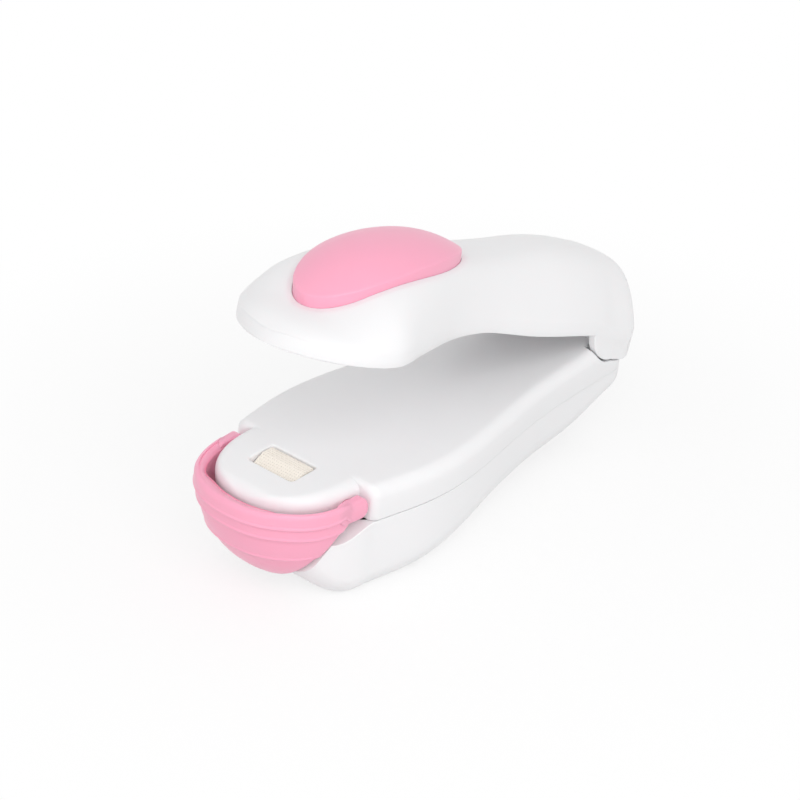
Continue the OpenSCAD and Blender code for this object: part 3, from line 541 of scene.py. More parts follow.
def lathe(name, axis_from, direction, profile, steps=64):
    """Turned piece: profile is (distance along the axis, radius)."""
    d = Vector(direction).normalized()
    a = d.orthogonal().normalized()
    b = d.cross(a)
    o = Vector(axis_from)
    rings = []
    for along, r in profile:
        rings.append([tuple(o + d * along + (a * math.cos(t) + b * math.sin(t)) * r)
                      for t in np.linspace(0, 2 * math.pi, steps, endpoint=False)])
    return skin(name, rings)


def rod(name, axis_from, direction, reach, r, steps=64):
    """Plain round rod."""
    return lathe(name, axis_from, direction, [(0, r), (reach, r)], steps)


def block(name, low, high):
    """Plain box between two corners."""
    x0, y0, z0 = low
    x1, y1, z1 = high
    return skin(name, [[(x0, y0, z), (x1, y0, z), (x1, y1, z), (x0, y1, z)] for z in (z0, z1)])


def tube(name, path, r, sides=16):
    """Round wire along a path, in millimetres."""
    p = np.asarray(path, float)
    t = np.gradient(p, axis=0)
    t /= np.linalg.norm(t, axis=1)[:, None]
    ref = Vector(t[0]).orthogonal()
    rings = []
    for c, d in zip(p, t):
        d = Vector(d)
        b = d.cross(ref).normalized()
        a = b.cross(d).normalized()
        ref = a
        rings.append([tuple(Vector(c) + (a * math.cos(k) + b * math.sin(k)) * r)
                      for k in np.linspace(0, 2 * math.pi, sides, endpoint=False)])
    return skin(name, rings)


def settle(obj):
    """Turns the modifiers of a piece into its plain mesh."""
    deps = bpy.context.evaluated_depsgraph_get()
    mesh = bpy.data.meshes.new_from_object(obj.evaluated_get(deps))
    old = obj.data
    obj.modifiers.clear()
    obj.data = mesh
    bpy.data.meshes.remove(old)
    return obj


def drop(obj):
    """Removes a cutter and its mesh."""
    mesh = obj.data
    bpy.data.objects.remove(obj)
    bpy.data.meshes.remove(mesh)


def carve(obj, *cutters, operation="DIFFERENCE"):
    """Cuts other shapes out of a piece, adds them or keeps what is common."""
    for cutter in cutters:
        m = obj.modifiers.new("cut", "BOOLEAN")
        m.operation = operation
        m.solver = "MANIFOLD"
        m.object = cutter
    bpy.context.view_layer.update()
    settle(obj)
    for cutter in cutters:
        drop(cutter)
    if not obj.data.polygons:
        raise RuntimeError(f"{obj.name} came out empty")
    return obj


def join(obj, *others):
    """Adds the meshes of others to a piece."""
    bm = bmesh.new()
    bm.from_mesh(obj.data)
    for other in others:
        bm.from_mesh(other.data)
    bm.to_mesh(obj.data)
    bm.free()
    for other in others:
        drop(other)
    return obj


def soften(obj, degrees=35.0):
    """Smooth shading with sharp edges kept."""
    obj.data.shade_smooth()
    obj.data.set_sharp_from_angle(angle=math.radians(degrees))
    return obj


def deliver(obj, body, mat, nodes=()):
    """Puts a finished piece on its body and the nodes it stands for."""
    obj.data.materials.clear()
    obj.data.materials.append(mat)
    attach(obj, body)
    if nodes:
        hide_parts(*nodes)
    return obj


def dress(node, mat):
    """Gives a CAD node its material."""
    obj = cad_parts[node]
    obj.data.materials.clear()
    obj.data.materials.append(mat)
    return obj


def put(tree, kind, values=None, **settings):
    """Adds a node, sets it up and joins or fills its inputs."""
    node = tree.nodes.new(kind)
    for key, value in settings.items():
        setattr(node, key, value)
    for key, value in (values or {}).items():
        if isinstance(value, bpy.types.NodeSocket):
            tree.links.new(value, node.inputs[key])
        else:
            node.inputs[key].default_value = value
    return node


def calc(tree, operation, *values):
    """Socket with the result of a sum on sockets or numbers."""
    return put(tree, "ShaderNodeMath", dict(enumerate(values)), operation=operation).outputs["Value"]


def vector(tree, **parts):
    """Socket with a vector made of sockets or numbers named X, Y and Z."""
    return put(tree, "ShaderNodeCombineXYZ", parts).outputs["Vector"]


def geo_tree(name, sockets):
    """Empty Geometry Nodes tree with named inputs; gives the tree, its input node and its output node."""
    tree = bpy.data.node_groups.new(name, "GeometryNodeTree")
    tree.interface.new_socket("Geometry", in_out="OUTPUT", socket_type="NodeSocketGeometry")
    tree.interface.new_socket("Geometry", in_out="INPUT", socket_type="NodeSocketGeometry")
    for label, kind in sockets:
        tree.interface.new_socket(label, in_out="INPUT", socket_type="NodeSocket" + kind)
    return tree, tree.nodes.new("NodeGroupInput"), tree.nodes.new("NodeGroupOutput")


def grow(name, points, tree, values, attributes=None):
    """Runs a tree over loose points given in millimetres and gives the result as a plain mesh."""
    mesh = bpy.data.meshes.new(name)
    mesh.from_pydata([tuple(c * MM for c in p) for p in points], [], [])
    for key, numbers in (attributes or {}).items():
        mesh.attributes.new(key, "FLOAT", "POINT").data.foreach_set("value", np.asarray(numbers, np.float32))
    obj = linked(name, mesh)
    mod = obj.modifiers.new("grow", "NODES")
    mod.node_group = tree
    for item in tree.interface.items_tree:
        if item.in_out == "INPUT" and item.name in values:
            mod[item.identifier] = values[item.name]
    bpy.context.view_layer.update()
    settle(obj)
    if not obj.data.polygons:
        raise RuntimeError(f"{name} came out empty")
    return obj


def end_tree(tree, given, result, instances):
    """Ends a tree: makes its instances real and gives them the material."""
    real = put(tree, "GeometryNodeRealizeInstances", {"Geometry": instances})
    done = put(tree, "GeometryNodeSetMaterial",
               {"Geometry": real.outputs["Geometry"], "Material": given.outputs["Material"]})
    tree.links.new(done.outputs["Geometry"], result.inputs["Geometry"])
    return tree


def yarn_tree():
    """Tree that lays a row of waving yarns side by side, every second one the other way up."""
    tree, given, result = geo_tree("yarns", [("Length", "Float"), ("Pitch", "Float"), ("Radius", "Float"),
                                             ("Count", "Int"), ("Material", "Material")])
    pitch, radius = given.outputs["Pitch"], given.outputs["Radius"]
    line = put(tree, "GeometryNodeCurvePrimitiveLine", {"End": vector(tree, Y=given.outputs["Length"])})
    step = calc(tree, "DIVIDE", pitch, 5.0)
    fine = put(tree, "GeometryNodeResampleCurve",
               {"Curve": line.outputs["Curve"], "Length": step}, mode="LENGTH")
    position = put(tree, "GeometryNodeInputPosition").outputs["Position"]
    along = put(tree, "ShaderNodeSeparateXYZ", {"Vector": position}).outputs["Y"]
    turn = calc(tree, "MULTIPLY", calc(tree, "DIVIDE", along, pitch), math.pi)
    lift = calc(tree, "MULTIPLY", calc(tree, "SINE", turn), radius)
    waved = put(tree, "GeometryNodeSetPosition",
                {"Geometry": fine.outputs["Curve"], "Offset": vector(tree, Z=lift)})
    ring = put(tree, "GeometryNodeCurvePrimitiveCircle", {"Resolution": 8, "Radius": radius})
    yarn = put(tree, "GeometryNodeCurveToMesh", {"Curve": waved.outputs["Geometry"],
                                                 "Profile Curve": ring.outputs["Curve"], "Fill Caps": True})
    row = put(tree, "GeometryNodeMeshLine",
              {"Count": given.outputs["Count"], "Offset": vector(tree, X=pitch)})
    odd = calc(tree, "MODULO", put(tree, "GeometryNodeInputIndex").outputs["Index"], 2.0)
    rolled = vector(tree, Y=calc(tree, "MULTIPLY", odd, math.pi))
    many = put(tree, "GeometryNodeInstanceOnPoints", {"Points": row.outputs["Mesh"],
                                                      "Instance": yarn.outputs["Mesh"], "Rotation": rolled})
    return end_tree(tree, given, result, many.outputs["Instances"])


def screw_tree():
    """Tree that sets a cross-recessed screw on each point, head down and as long as the point's reach."""
    tree, given, result = geo_tree("screws", [("Head radius", "Float"), ("Head height", "Float"),
                                              ("Shank radius", "Float"), ("Tilt", "Float"),
                                              ("Material", "Material")])
    head_r, head_h = given.outputs["Head radius"], given.outputs["Head height"]
    up = vector(tree, Z=calc(tree, "MULTIPLY", head_h, 0.5))
    disc = put(tree, "GeometryNodeMeshCylinder", {"Vertices": 40, "Radius": head_r, "Depth": head_h})
    head = put(tree, "GeometryNodeTransform", {"Geometry": disc.outputs["Mesh"], "Translation": up})
    cut = put(tree, "GeometryNodeMeshBoolean", {0: head.outputs["Geometry"]},
              operation="DIFFERENCE", solver="EXACT")
    long, slim = (calc(tree, "MULTIPLY", head_r, share) for share in (1.25, 0.3))
    for x, y in ((long, slim), (slim, long)):
        slot = put(tree, "GeometryNodeMeshCube", {"Size": vector(tree, X=x, Y=y, Z=head_h)})
        tree.links.new(slot.outputs["Mesh"], cut.inputs[1])
    shank = put(tree, "GeometryNodeMeshCylinder",
                {"Vertices": 24, "Radius": given.outputs["Shank radius"], "Depth": 1.0})
    raised = put(tree, "GeometryNodeTransform",
                 {"Geometry": shank.outputs["Mesh"], "Translation": (0.0, 0.0, 0.5)})
    reach = put(tree, "GeometryNodeInputNamedAttribute", {"Name": "reach"}, data_type="FLOAT")
    stretch = vector(tree, X=1.0, Y=1.0, Z=reach.outputs["Attribute"])
    both = put(tree, "GeometryNodeJoinGeometry")
    for piece, scale in ((cut.outputs["Mesh"], (1.0, 1.0, 1.0)), (raised.outputs["Geometry"], stretch)):
        placed = put(tree, "GeometryNodeInstanceOnPoints",
                     {"Points": given.outputs["Geometry"], "Instance": piece, "Scale": scale,
                      "Rotation": vector(tree, X=given.outputs["Tilt"])})
        tree.links.new(placed.outputs["Instances"], both.inputs["Geometry"])
    return end_tree(tree, given, result, both.outputs["Geometry"])


def islands(node):
    """Points of each loose part of a CAD node, in millimetres."""
    bm = bmesh.new()
    bm.from_mesh(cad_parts[node].data)
    bmesh.ops.remove_doubles(bm, verts=bm.verts, dist=1e-6)
    left, out = set(bm.verts), []
    while left:
        part, front = set(), [left.pop()]
        while front:
            v = front.pop()
            part.add(v)
            near = {e.other_vert(v) for e in v.link_edges} & left
            left -= near
            front.extend(near)
        out.append(np.array([v.co for v in part]) / MM)
    bm.free()
    return out


def principled(name, base, rough, metallic=0.0, sss=0.0, grain=0.0):
    """Plain material with an optional soft glow below its skin and a fine moulded or brushed grain."""
    mat = bpy.data.materials.new(name)
    mat.use_nodes = True
    tree = mat.node_tree
    bsdf = tree.nodes["Principled BSDF"]
    values = {"Base Color": (*base, 1.0), "Roughness": rough, "Metallic": metallic, "IOR": 1.46}
    if sss > 0:
        values["Subsurface Weight"] = sss
        values["Subsurface Radius"] = (1.0, 0.8, 0.8)
        values["Subsurface Scale"] = 0.0012
    for key, value in values.items():
        bsdf.inputs[key].default_value = value
    if grain > 0:
        place = put(tree, "ShaderNodeTexCoord").outputs["Object"]
        noise = put(tree, "ShaderNodeTexNoise", {"Vector": place, "Scale": 2500.0, "Detail": 3.0})
        bump = put(tree, "ShaderNodeBump",
                   {"Strength": grain, "Distance": 0.0001, "Height": noise.outputs["Fac"]})
        tree.links.new(bump.outputs["Normal"], bsdf.inputs["Normal"])
    return mat


def seen_directly(tree):
    """Socket that is 1 for rays from the camera and for mirrored and refracted views."""
    path = put(tree, "ShaderNodeLightPath")
    seen = path.outputs["Is Camera Ray"]
    for name in ("Is Glossy Ray", "Is Transmission Ray"):
        seen = calc(tree, "MAXIMUM", seen, path.outputs[name])
    return seen


def pale_floor(base, near=0.05, far=0.13, shown=0.74):
    """Floor that looks white, keeps the shadow near the object and sends back less light than it shows."""
    pure, middle = (1.0, 1.0, 1.0, 1.0), (0.0, 0.03, 0.0)
    mat = principled("floor", base, 0.9)
    tree = mat.node_tree
    bsdf = tree.nodes["Principled BSDF"]
    bsdf.inputs["Specular IOR Level"].default_value = 0.0
    seen = seen_directly(tree)
    tint = put(tree, "ShaderNodeMix", {"Factor": seen, "A": (*base, 1.0), "B": pure}, data_type="RGBA")
    tree.links.new(tint.outputs["Result"], bsdf.inputs["Base Color"])
    place = put(tree, "ShaderNodeTexCoord").outputs["Object"]
    away = put(tree, "ShaderNodeVectorMath", {0: place, 1: middle}, operation="DISTANCE").outputs["Value"]
    fade = put(tree, "ShaderNodeMapRange", {"Value": away, "From Min": near, "From Max": far, "To Min": shown,
                                            "To Max": 1.0}, interpolation_type="SMOOTHSTEP")
    share = calc(tree, "MULTIPLY", fade.outputs["Result"], seen)
    glow = put(tree, "ShaderNodeEmission", {"Color": pure, "Strength": 1.0})
    mix = put(tree, "ShaderNodeMixShader",
              {"Fac": share, 1: bsdf.outputs["BSDF"], 2: glow.outputs["Emission"]})
    tree.links.new(mix.outputs["Shader"], tree.nodes["Material Output"].inputs["Surface"])
    return mat


def finish_of(name):
    """The material with that name, made on first use."""
    found = bpy.data.materials.get(name)
    if found:
        return found
    look = bpy.context.scene.sealer_look
    makers = {
        "white plastic": lambda: principled(name, look.white, 0.32, sss=0.15, grain=0.04),
        "pink plastic": lambda: principled(name, look.pink, 0.34, sss=0.2, grain=0.04),
        "silicone": lambda: principled(name, (0.62, 0.61, 0.58), 0.55),
        "cloth": lambda: principled(name, look.cloth, 0.8),
        # Darker copy of the cloth colour: painted shade between the yarns, where the sheet under the weave
        # shows through.
        "shaded cloth ground": lambda: principled(name, [0.72 * v for v in look.cloth], 0.8),
        "heat moulding": lambda: principled(name, (0.80, 0.77, 0.70), 0.5),
        "steel": lambda: principled(name, (0.62, 0.62, 0.64), 0.28, metallic=1.0, grain=0.1),
        "brass": lambda: principled(name, (0.72, 0.52, 0.22), 0.3, metallic=1.0, grain=0.1),
        "cell sleeve": lambda: principled(name, (0.05, 0.16, 0.13), 0.35),
        "red sleeve": lambda: principled(name, (0.50, 0.02, 0.015), 0.45),
        "black sleeve": lambda: principled(name, (0.012, 0.012, 0.014), 0.45),
    }
    return makers[name]()


def round_front(middle, reach, degrees):
    """Places along a round front, from its tip back to its middle."""
    return [middle - reach * math.cos(math.radians(a)) for a in degrees]


def round_end(end, r, steps):
    """Places along a round end, closer together towards its tip."""
    return [end - r + r * math.sin(a) for a in np.linspace(0, math.pi / 2, steps)]


def rounded_plan(half, y0, y1, corner, wider=0.0):
    """Points (x, y) of a rectangle with round corners, grown outward."""
    out = []
    for cx, cy, start in ((1, 1, 0), (-1, 1, 90), (-1, -1, 180), (1, -1, 270)):
        for a in np.radians(np.linspace(start, start + 90, 9)):
            x = cx * (half - corner) + (corner + wider) * math.cos(a)
            y = (y1 - corner if cy > 0 else y0 + corner) + (corner + wider) * math.sin(a)
            out.append((x, y))
    return out


def upper_outer(s):
    """Outside of the upper shell."""
    rings = []
    for y in round_front(0.0, s.nose_l, np.concatenate([[2, 4, 6.5], np.arange(9, 88, 2.2)])) + [0.0]:
        top = s.deck_at(y) - corner_cut(y + s.nose_l, s.deck_edge_r)
        foot = s.rim_at(y) + s.seam_gap + s.gap
        rings.append(mirrored(y, s.deck_half_ring(s.nose_half(y), top, foot, s.deck_edge_r, s.lean_at(0))))
    fade_x, fade_z, fade_deep = 2.6, 3.0, 4.5
    side, edge = s.nose_w / 2 - fade_x, s.deck_z - fade_deep
    ys = [0.02, 0.08, 0.2, 0.35, 0.55, 0.8, 1.1, 1.4]
    ys += list(np.arange(2.2, s.body_l - s.stern_r, 1.1)) + round_end(s.body_l, s.stern_r, 12)
    for y in ys:
        w = s.stern_half(y) - corner_cut(y, s.corner_r)
        gap, lip = s.seam_at(y)
        half = s.deck_half_ring(w, s.deck_z, s.seam_z + gap, s.deck_edge_r, s.lean_at(y), lip)
        sink = corner_cut(y, s.shoulder_r)
        half = [(x, z - sink * smooth((x - side) / fade_x) * smooth((z - edge) / fade_z)) for x, z in half]
        rings.append(mirrored(y, half))
    return skin("upper_form", rings)


def upper_hollow(s):
    """Inside of the upper shell, open below."""
    t, edge = s.wall, s.deck_edge_r - s.wall
    rings = []
    for y in round_front(0.0, s.nose_l, (16, 26, 38, 50, 62, 72, 80, 86)) + [0.0]:
        if s.nose_half(y) > t + 1.2:
            half = s.deck_half_ring(s.nose_half(y) - t, s.deck_at(y) - t, 0.0, edge, s.lean_at(0), 0.0)
            rings.append(mirrored(y + t, half))
    for y in [0.02, 1.4] + list(np.arange(4, s.body_l - s.stern_r, 4.1)) + [s.body_l - 2 * t]:
        w = s.stern_half(y + t) - corner_cut(y, s.corner_r) - t
        if y > s.hinge_y - s.ear_r - 4:
            w = min(w, s.ear_in - s.gap - t)
        rings.append(mirrored(y + t, s.deck_half_ring(w, s.deck_z - t, 0.0, edge, 0.0, 0.0)))
    return skin("upper_hollow", rings)


def window_cutter(s):
    """Heater window with a rounded rim."""
    rim, deep, flare, above = s.window_rim, 6.0, 1.2, 0.12
    levels = [(0.0, -deep)]
    levels += [(rim - rim * math.cos(a), -rim + rim * math.sin(a)) for a in np.linspace(0, math.pi / 2, 7)]
    levels.append((flare, above))
    y0, y1 = -s.window_y - s.window_l / 2, -s.window_y + s.window_l / 2
    rings = []
    for wider, dz in levels:
        plan = rounded_plan(s.window_w / 2, y0, y1, s.window_corner, wider)
        rings.append([(x, y, s.deck_at(y) - s.crown_at(x) + dz) for x, y in plan])
    return skin("window_cut", rings)


def lower_outer(s, name="lower_form"):
    """Outside of the lower shell."""
    ys = round_front(0.0, s.bow_l, np.concatenate([[2, 4, 6.5], np.arange(9, 89, 2.5)])) + [0.0]
    ys += list(np.arange(1.0, s.body_l - s.stern_r, 1.2)) + round_end(s.body_l, s.stern_r, 12)
    rings = []
    for y in ys:
        w = s.bow_half(y) if y < 0 else s.stern_half(y)
        if w > 1.0:
            lean, lip = s.lean_at(y), s.seam_at(y)[1]
            half = s.tub_half_ring(w, s.rim_at(y), s.keel_at(y), s.bilge_at(y), lean, lip)
            rings.append(mirrored(y, half))
    return skin(name, rings)


def lower_hollow(s):
    """Inside of the lower shell."""
    t, over, least = s.wall, 2.0, 1.2
    inner_w = s.catch_in - s.gap - t

    def in_bow(y):
        return min(max((-s.pivot_y - y) / (s.bow_r - t), 0.0), 1.0)

    rings = []
    ys = round_front(0.0, s.bow_l, (17, 27, 38, 49, 60, 70, 80)) + [0.0]
    ys += list(np.arange(4, s.body_l - t, 3.0))
    for y in ys:
        w, keel = s.stern_half(y) - t, s.keel_at(y) + t
        if y < 0:
            w = min(s.bow_half(y) - t, inner_w * sup(in_bow(y), s.catch_n))
        if y < -s.pivot_y - 0.5:
            keel = max(keel, s.pivot_z - (s.bow_r - t) * math.sqrt(max(1 - in_bow(y) ** 2, 0.0)))
        if w > least:
            half = s.tub_half_ring(w, s.rim_at(y) + over, keel, s.bilge_at(y) - t, s.lean_at(y), 0.0)
            rings.append(mirrored(y, half))
    return skin("lower_hollow", rings)


def catch_frame(s, deg):
    """Share of the reach and of the half width of the catch at a turn of its plan."""
    a = math.radians(deg)
    return math.cos(a) ** (2 / s.catch_n), math.copysign(abs(math.sin(a)) ** (2 / s.catch_n), a)


def catch_room(s, wall=0.0):
    """Room for the catch against the bow, with the wall behind it where one is given."""
    rings = []
    for deg in np.linspace(-s.plan_turn, s.plan_turn, 61):
        c, side = catch_frame(s, deg)
        down = s.catch_down(c) + s.room_turn + math.degrees(2 * wall / s.catch_r)
        turn = np.linspace(-s.room_top, down, 17)
        near = max((s.catch_r - s.catch_t) * c - s.gap - wall, 0.05)
        far = s.catch_r * c + s.room_out
        ring = [s.catch_point((s.catch_w / 2 + s.room_out) * side, far, a) for a in turn]
        ring += [s.catch_point((s.catch_in - s.gap - wall) * side, near, a) for a in turn[::-1]]
        rings.append(ring)
    return band("catch_room", rings)


def door_plan(s, clear):
    """Rounded prism of the battery door, from its box in the frame, grown by a clearance."""
    high = box_mm("battery_door")[1]
    plan = rounded_plan(high[0] + clear, s.door_start - clear, high[1] + clear, s.door_corner + clear)
    return skin("door_plan", [[(x, y, z) for x, y in plan] for z in (-5.0, high[2] + clear)])


def arm_outer(s):
    """Outside of the press arm, closed, with a shallow dish round the pad."""
    ys = round_front(s.head_y, s.head_l, np.concatenate([[1.5, 3, 5], np.arange(7.5, 89, 2.0)]))
    ys += list(np.arange(s.head_y, s.arm_rear - s.rear_r, 0.6)) + round_end(s.arm_rear, s.rear_r, 14)
    rings = []
    for y in ys:
        low, top = s.arm_low(y), s.arm_top(y)
        half = s.dome_half_ring(y, s.arm_half(y), low, min(s.rim_band, 0.9 * (top - low)), top, 0.5)
        half = [(x, z - (s.dish(x, y, z) if z > low + s.rim_band + 0.2 else 0.0)) for x, z in half]
        rings.append(mirrored(y, half))
    return skin("arm_form", rings, s.arm_matrix())


def arm_hollow(s):
    """Hollow of the press arm, open below."""
    t = s.arm_wall
    ys = round_front(s.head_y, s.head_l, (25, 31, 38, 48, 60, 74))
    ys += list(np.arange(s.head_y, s.arm_rear - s.rear_r, 3.0))
    ys += [s.arm_rear - s.rear_r + s.rear_r * math.sin(math.radians(a)) for a in (15, 30, 42)]
    ys.append(s.arm_rear - t)
    rings = []
    for y in ys:
        if s.arm_half(y) > t + 2:
            shift = t * (s.head_y - y) / s.head_l if y < s.head_y else 0.0
            low = s.arm_low(y)
            roof = max(s.arm_roof(y), low + s.rim_band - 0.3)
            half = s.dome_half_ring(y, s.arm_half(y) - t, low - 3, s.rim_band + 2.3, roof, steps=20)
            rings.append(mirrored(y + shift, half))
    return skin("arm_hollow", rings, s.arm_matrix())


def ear(s, side):
    """Hinge ear: the part of a disc that hangs below the arm."""
    out, size = s.hump_w / 2, 2 * s.ear_r
    profile = [(s.ear_in, s.ear_r), (out - 0.1, s.ear_r), (out, s.ear_r - 0.1)]
    disc = lathe("ear", (0, s.hinge_y, s.hinge_z), (side, 0, 0), profile, 96)
    low = (-20, s.hinge_y - size, s.hinge_z - size)
    high = (20, s.hinge_y + size, s.hinge_z - 0.8)
    carve(disc, block("ear_keep", low, high), operation="INTERSECT")
    disc.data.transform(in_metres(s.arm_matrix()))
    return disc


def ear_heel(s, side, clear=0.0, turn=0.0):
    """Rear of a hinge ear, along the arm's round corner; it can be grown and turned towards closed."""
    line = [(0.5, -5.9), (2.0, -6.1), (3.9, -6.2), (5.4, -6.2),
            (6.6, -5.9), (7.4, -5.3), (8.0, -4.5), (8.4, -3.5)]
    bevel, hidden, thinnest = 0.25, 0.03, 0.6
    rings = []
    for y, z in line:
        out = s.arm_half(s.hinge_y + y) - hidden + clear
        inner = min(s.ear_in + hidden, out - thinnest) - clear
        low, high = s.hinge_z + z - clear, s.hinge_z - 1.5 + clear
        back = s.hinge_y + y + clear * y / line[-1][0]
        section = ((inner, low), (out - bevel, low), (out, low + bevel), (out, high), (inner, high))
        rings.append([(side * x, back, h) for x, h in section])
    return skin("ear_heel", rings, s.arm_turn(turn) @ s.arm_matrix())


def pad_recess(s):
    """Seat of the thumb pad."""
    rings = [[(x, y, z) for x, y in s.egg(s.pad_clear)] for z in (0.0, 25.0)]
    return skin("pad_recess", rings, s.pad_matrix())


def pad_rings(s):
    """Thumb pad: an upright side, a rounded edge and a domed top, bowed along its length."""
    side, edge = s.pad_seat + s.pad_side + s.pad_shoulder, s.pad_edge
    dome = s.pad_dome - s.pad_shoulder
    steep = math.atan(2 * s.pad_power * dome / s.pad_w)
    levels = [(0.0, 0.5 * side), (0.0, side - edge)]
    for a in np.linspace(0, math.pi / 2 - steep, 6)[1:]:
        levels.append((edge - edge * math.cos(a), side - edge + edge * math.sin(a)))
    rings = [[(x, y, 0.03) for x, y in s.egg(0.0)]]
    for inset, z in levels:
        rings.append([(x, y, z + s.pad_rise(y)) for x, y in s.egg(-inset)])
    inset, start = levels[-1]
    for share in np.concatenate([np.linspace(0.985, 0.85, 10), np.linspace(0.82, 0.02, 22)]):
        z = start + dome * (1 - share ** s.pad_power)
        rings.append([(x, y, z + s.pad_rise(y)) for x, y in s.egg(-inset, share)])
    return rings


def catch_form(s):
    """Safety catch: a visor in overlapping tiers that run level with its rolled rim."""
    lip, rim_dip, round_mm, round_run = 1.2, 0.4, 0.45, 0.8
    drop_mm, bead, bead_half = 0.32, 0.45, 0.25
    roll, roll_in, side_trim, chin_share = 0.9, 0.7, 0.1, 0.87
    step = 0.8 * s.catch_step
    whole = math.radians(s.catch_down(1.0) + math.degrees(math.asin(s.catch_up / s.catch_r))) * s.catch_r
    marks = [t * whole for t in s.tiers]
    rings = []
    for deg in np.linspace(-s.plan_turn, s.plan_turn, 161):
        c, side = catch_frame(s, deg)
        ro, ri = s.catch_r * c, (s.catch_r - s.catch_t) * c
        down = s.catch_down(c)
        up = s.catch_up - rim_dip * (1 - smooth((c - 0.45) / 0.4))
        up_o, up_i = (math.degrees(math.asin(min(0.9, h / r))) for h, r in ((up, ro), (up - s.rim_fall, ri)))
        reach = math.radians(down + up_o) * ro
        normal = np.array([side * abs(side) ** (s.catch_n - 2) / (s.catch_w / 2),
                           c ** (s.catch_n - 1) / s.catch_r])
        normal /= np.linalg.norm(normal)
        knots = [0.0] + [min(m / reach, 1 - 0.02 * (len(marks) - i)) for i, m in enumerate(marks)] + [1.0]
        depth = [step * smooth((1 - m / reach) / 0.12) for m in marks]
        fs = []
        for a, b in zip(knots, knots[1:]):
            near = [a + min(drop_mm * k / 4 / reach, (b - a) * 0.15 * k) for k in range(5)]
            last = b - min(round_run / reach, (b - near[-1]) / 2)
            fs += near + list(np.linspace(near[-1], last, 6)[1:]) + list(np.linspace(last, b, 9)[1:-1])

        def outer(f):
            chin = 1 + chin_share * s.chin_grow * smooth((f - 0.1) / 0.9)
            inset = bead * step
            for d, k in zip(depth, knots[1:]):
                past = (f - k) * reach
                swell = smooth(1 - abs(past + bead_half) / (2 * bead_half))
                inset += d * smooth(past / drop_mm) - bead * d * swell
            inset += side_trim * smooth(f / 0.8) * (1 - c * c)
            inset += roll_in * (1 - math.sqrt(1 - max(1 - f * reach / roll, 0.0) ** 2))
            x, r = np.array([s.catch_w / 2 * side, ro * chin]) - inset * normal
            return np.array([x, r, f * (down + up_o) - up_o])

        def inner(f):
            chin = 1 + s.chin_grow * smooth((f - 0.1) / 0.9)
            lipped = lip * smooth((c - 0.75) / 0.2) * (1 - smooth((f - 0.06) / 0.09))
            return np.array([s.catch_in * side, ri * chin - lipped, f * (down + up_i) - up_i])

        def edge(a, b, sense):
            points = []
            for u in np.linspace(0.04, 0.96, 9):
                p = a + (b - a) * u
                drawn = 1 - math.sqrt(max(1 - (2 * u - 1) ** 2, 0.0))
                p[2] -= sense * math.degrees(round_mm / max(p[1], 2.0)) * drawn
                points.append(p)
            return points

        loop = [outer(f) for f in fs] + edge(outer(1.0), inner(1.0), 1.0)
        loop += [inner(f) for f in reversed(fs)] + edge(inner(0.0), outer(0.0), -1.0)
        rings.append([s.catch_point(*p) for p in loop])
    return band("catch_form", rings)


def catch_end(s, side):
    """End of the catch's side: a bar that sinks into the visor in front and is round at the shoulder."""
    inner, outer = s.catch_in, s.catch_w / 2
    r, top, front, dip, clear = 1.7, 2.3, 2.2, 0.35, 0.35
    back = s.pivot_y - r - clear
    levels = ((inner + 0.02, 0.3), (inner + 0.3, 0.0), (outer - 0.6, 0.0),
              (outer - 0.35, 0.1), (outer - 0.18, 0.3), (outer - 0.1, 0.6))
    rings = []
    for x, inset in levels:
        ring = []
        for t in np.linspace(0, 2 * math.pi, 64, endpoint=False):
            ahead = math.cos(t) <= 1e-6
            across = x - dip if ahead and x > inner + 0.5 else x
            along = -s.pivot_y + (-front if ahead else back) + (r - inset) * math.cos(t)
            high = (top if math.sin(t) > 0 else r) - inset
            ring.append((side * across, along, s.pivot_z + high * math.sin(t)))
        rings.append(ring)
    return skin("catch_end", rings)


def ridge_profile(s, low, high, thick):
    """Middle line of the heater cloth over its ridge: points (y, z), outward normals and distance along."""
    grow_by = thick / 2 + 0.01
    boss_l = s.window_l - 2 * s.gap
    ridge_y = -s.window_y + 0.25 * boss_l
    crest = high[2] - thick / 2
    top = high[2] - thick
    front, rear = -s.window_y - boss_l / 2 - grow_by, -s.window_y + boss_l / 2 + grow_by
    front_fall, rear_fall, half_crest = 1.7, 1.1, 1.1
    corners = np.array([(front, low[2]), (front, top - front_fall + grow_by), (ridge_y - half_crest, crest),
                        (ridge_y + half_crest, crest), (rear, top - rear_fall + grow_by), (rear, low[2])])
    length_at = np.concatenate([[0], np.cumsum(np.linalg.norm(np.diff(corners, axis=0), axis=1))])
    w = np.linspace(0, length_at[-1], 400)
    line = np.stack([np.interp(w, length_at, corners[:, k]) for k in (0, 1)], axis=1)
    reach = 9
    soft = line.copy()
    kernel = np.ones(2 * reach + 1) / (2 * reach + 1)
    for k in (0, 1):
        soft[reach:-reach, k] = np.convolve(line[:, k], kernel, mode="valid")
    tangent = np.gradient(soft, axis=0)
    tangent /= np.linalg.norm(tangent, axis=1)[:, None]
    run = np.concatenate([[0], np.cumsum(np.linalg.norm(np.diff(soft, axis=0), axis=1))])
    return soft, np.stack([-tangent[:, 1], tangent[:, 0]], axis=1), run


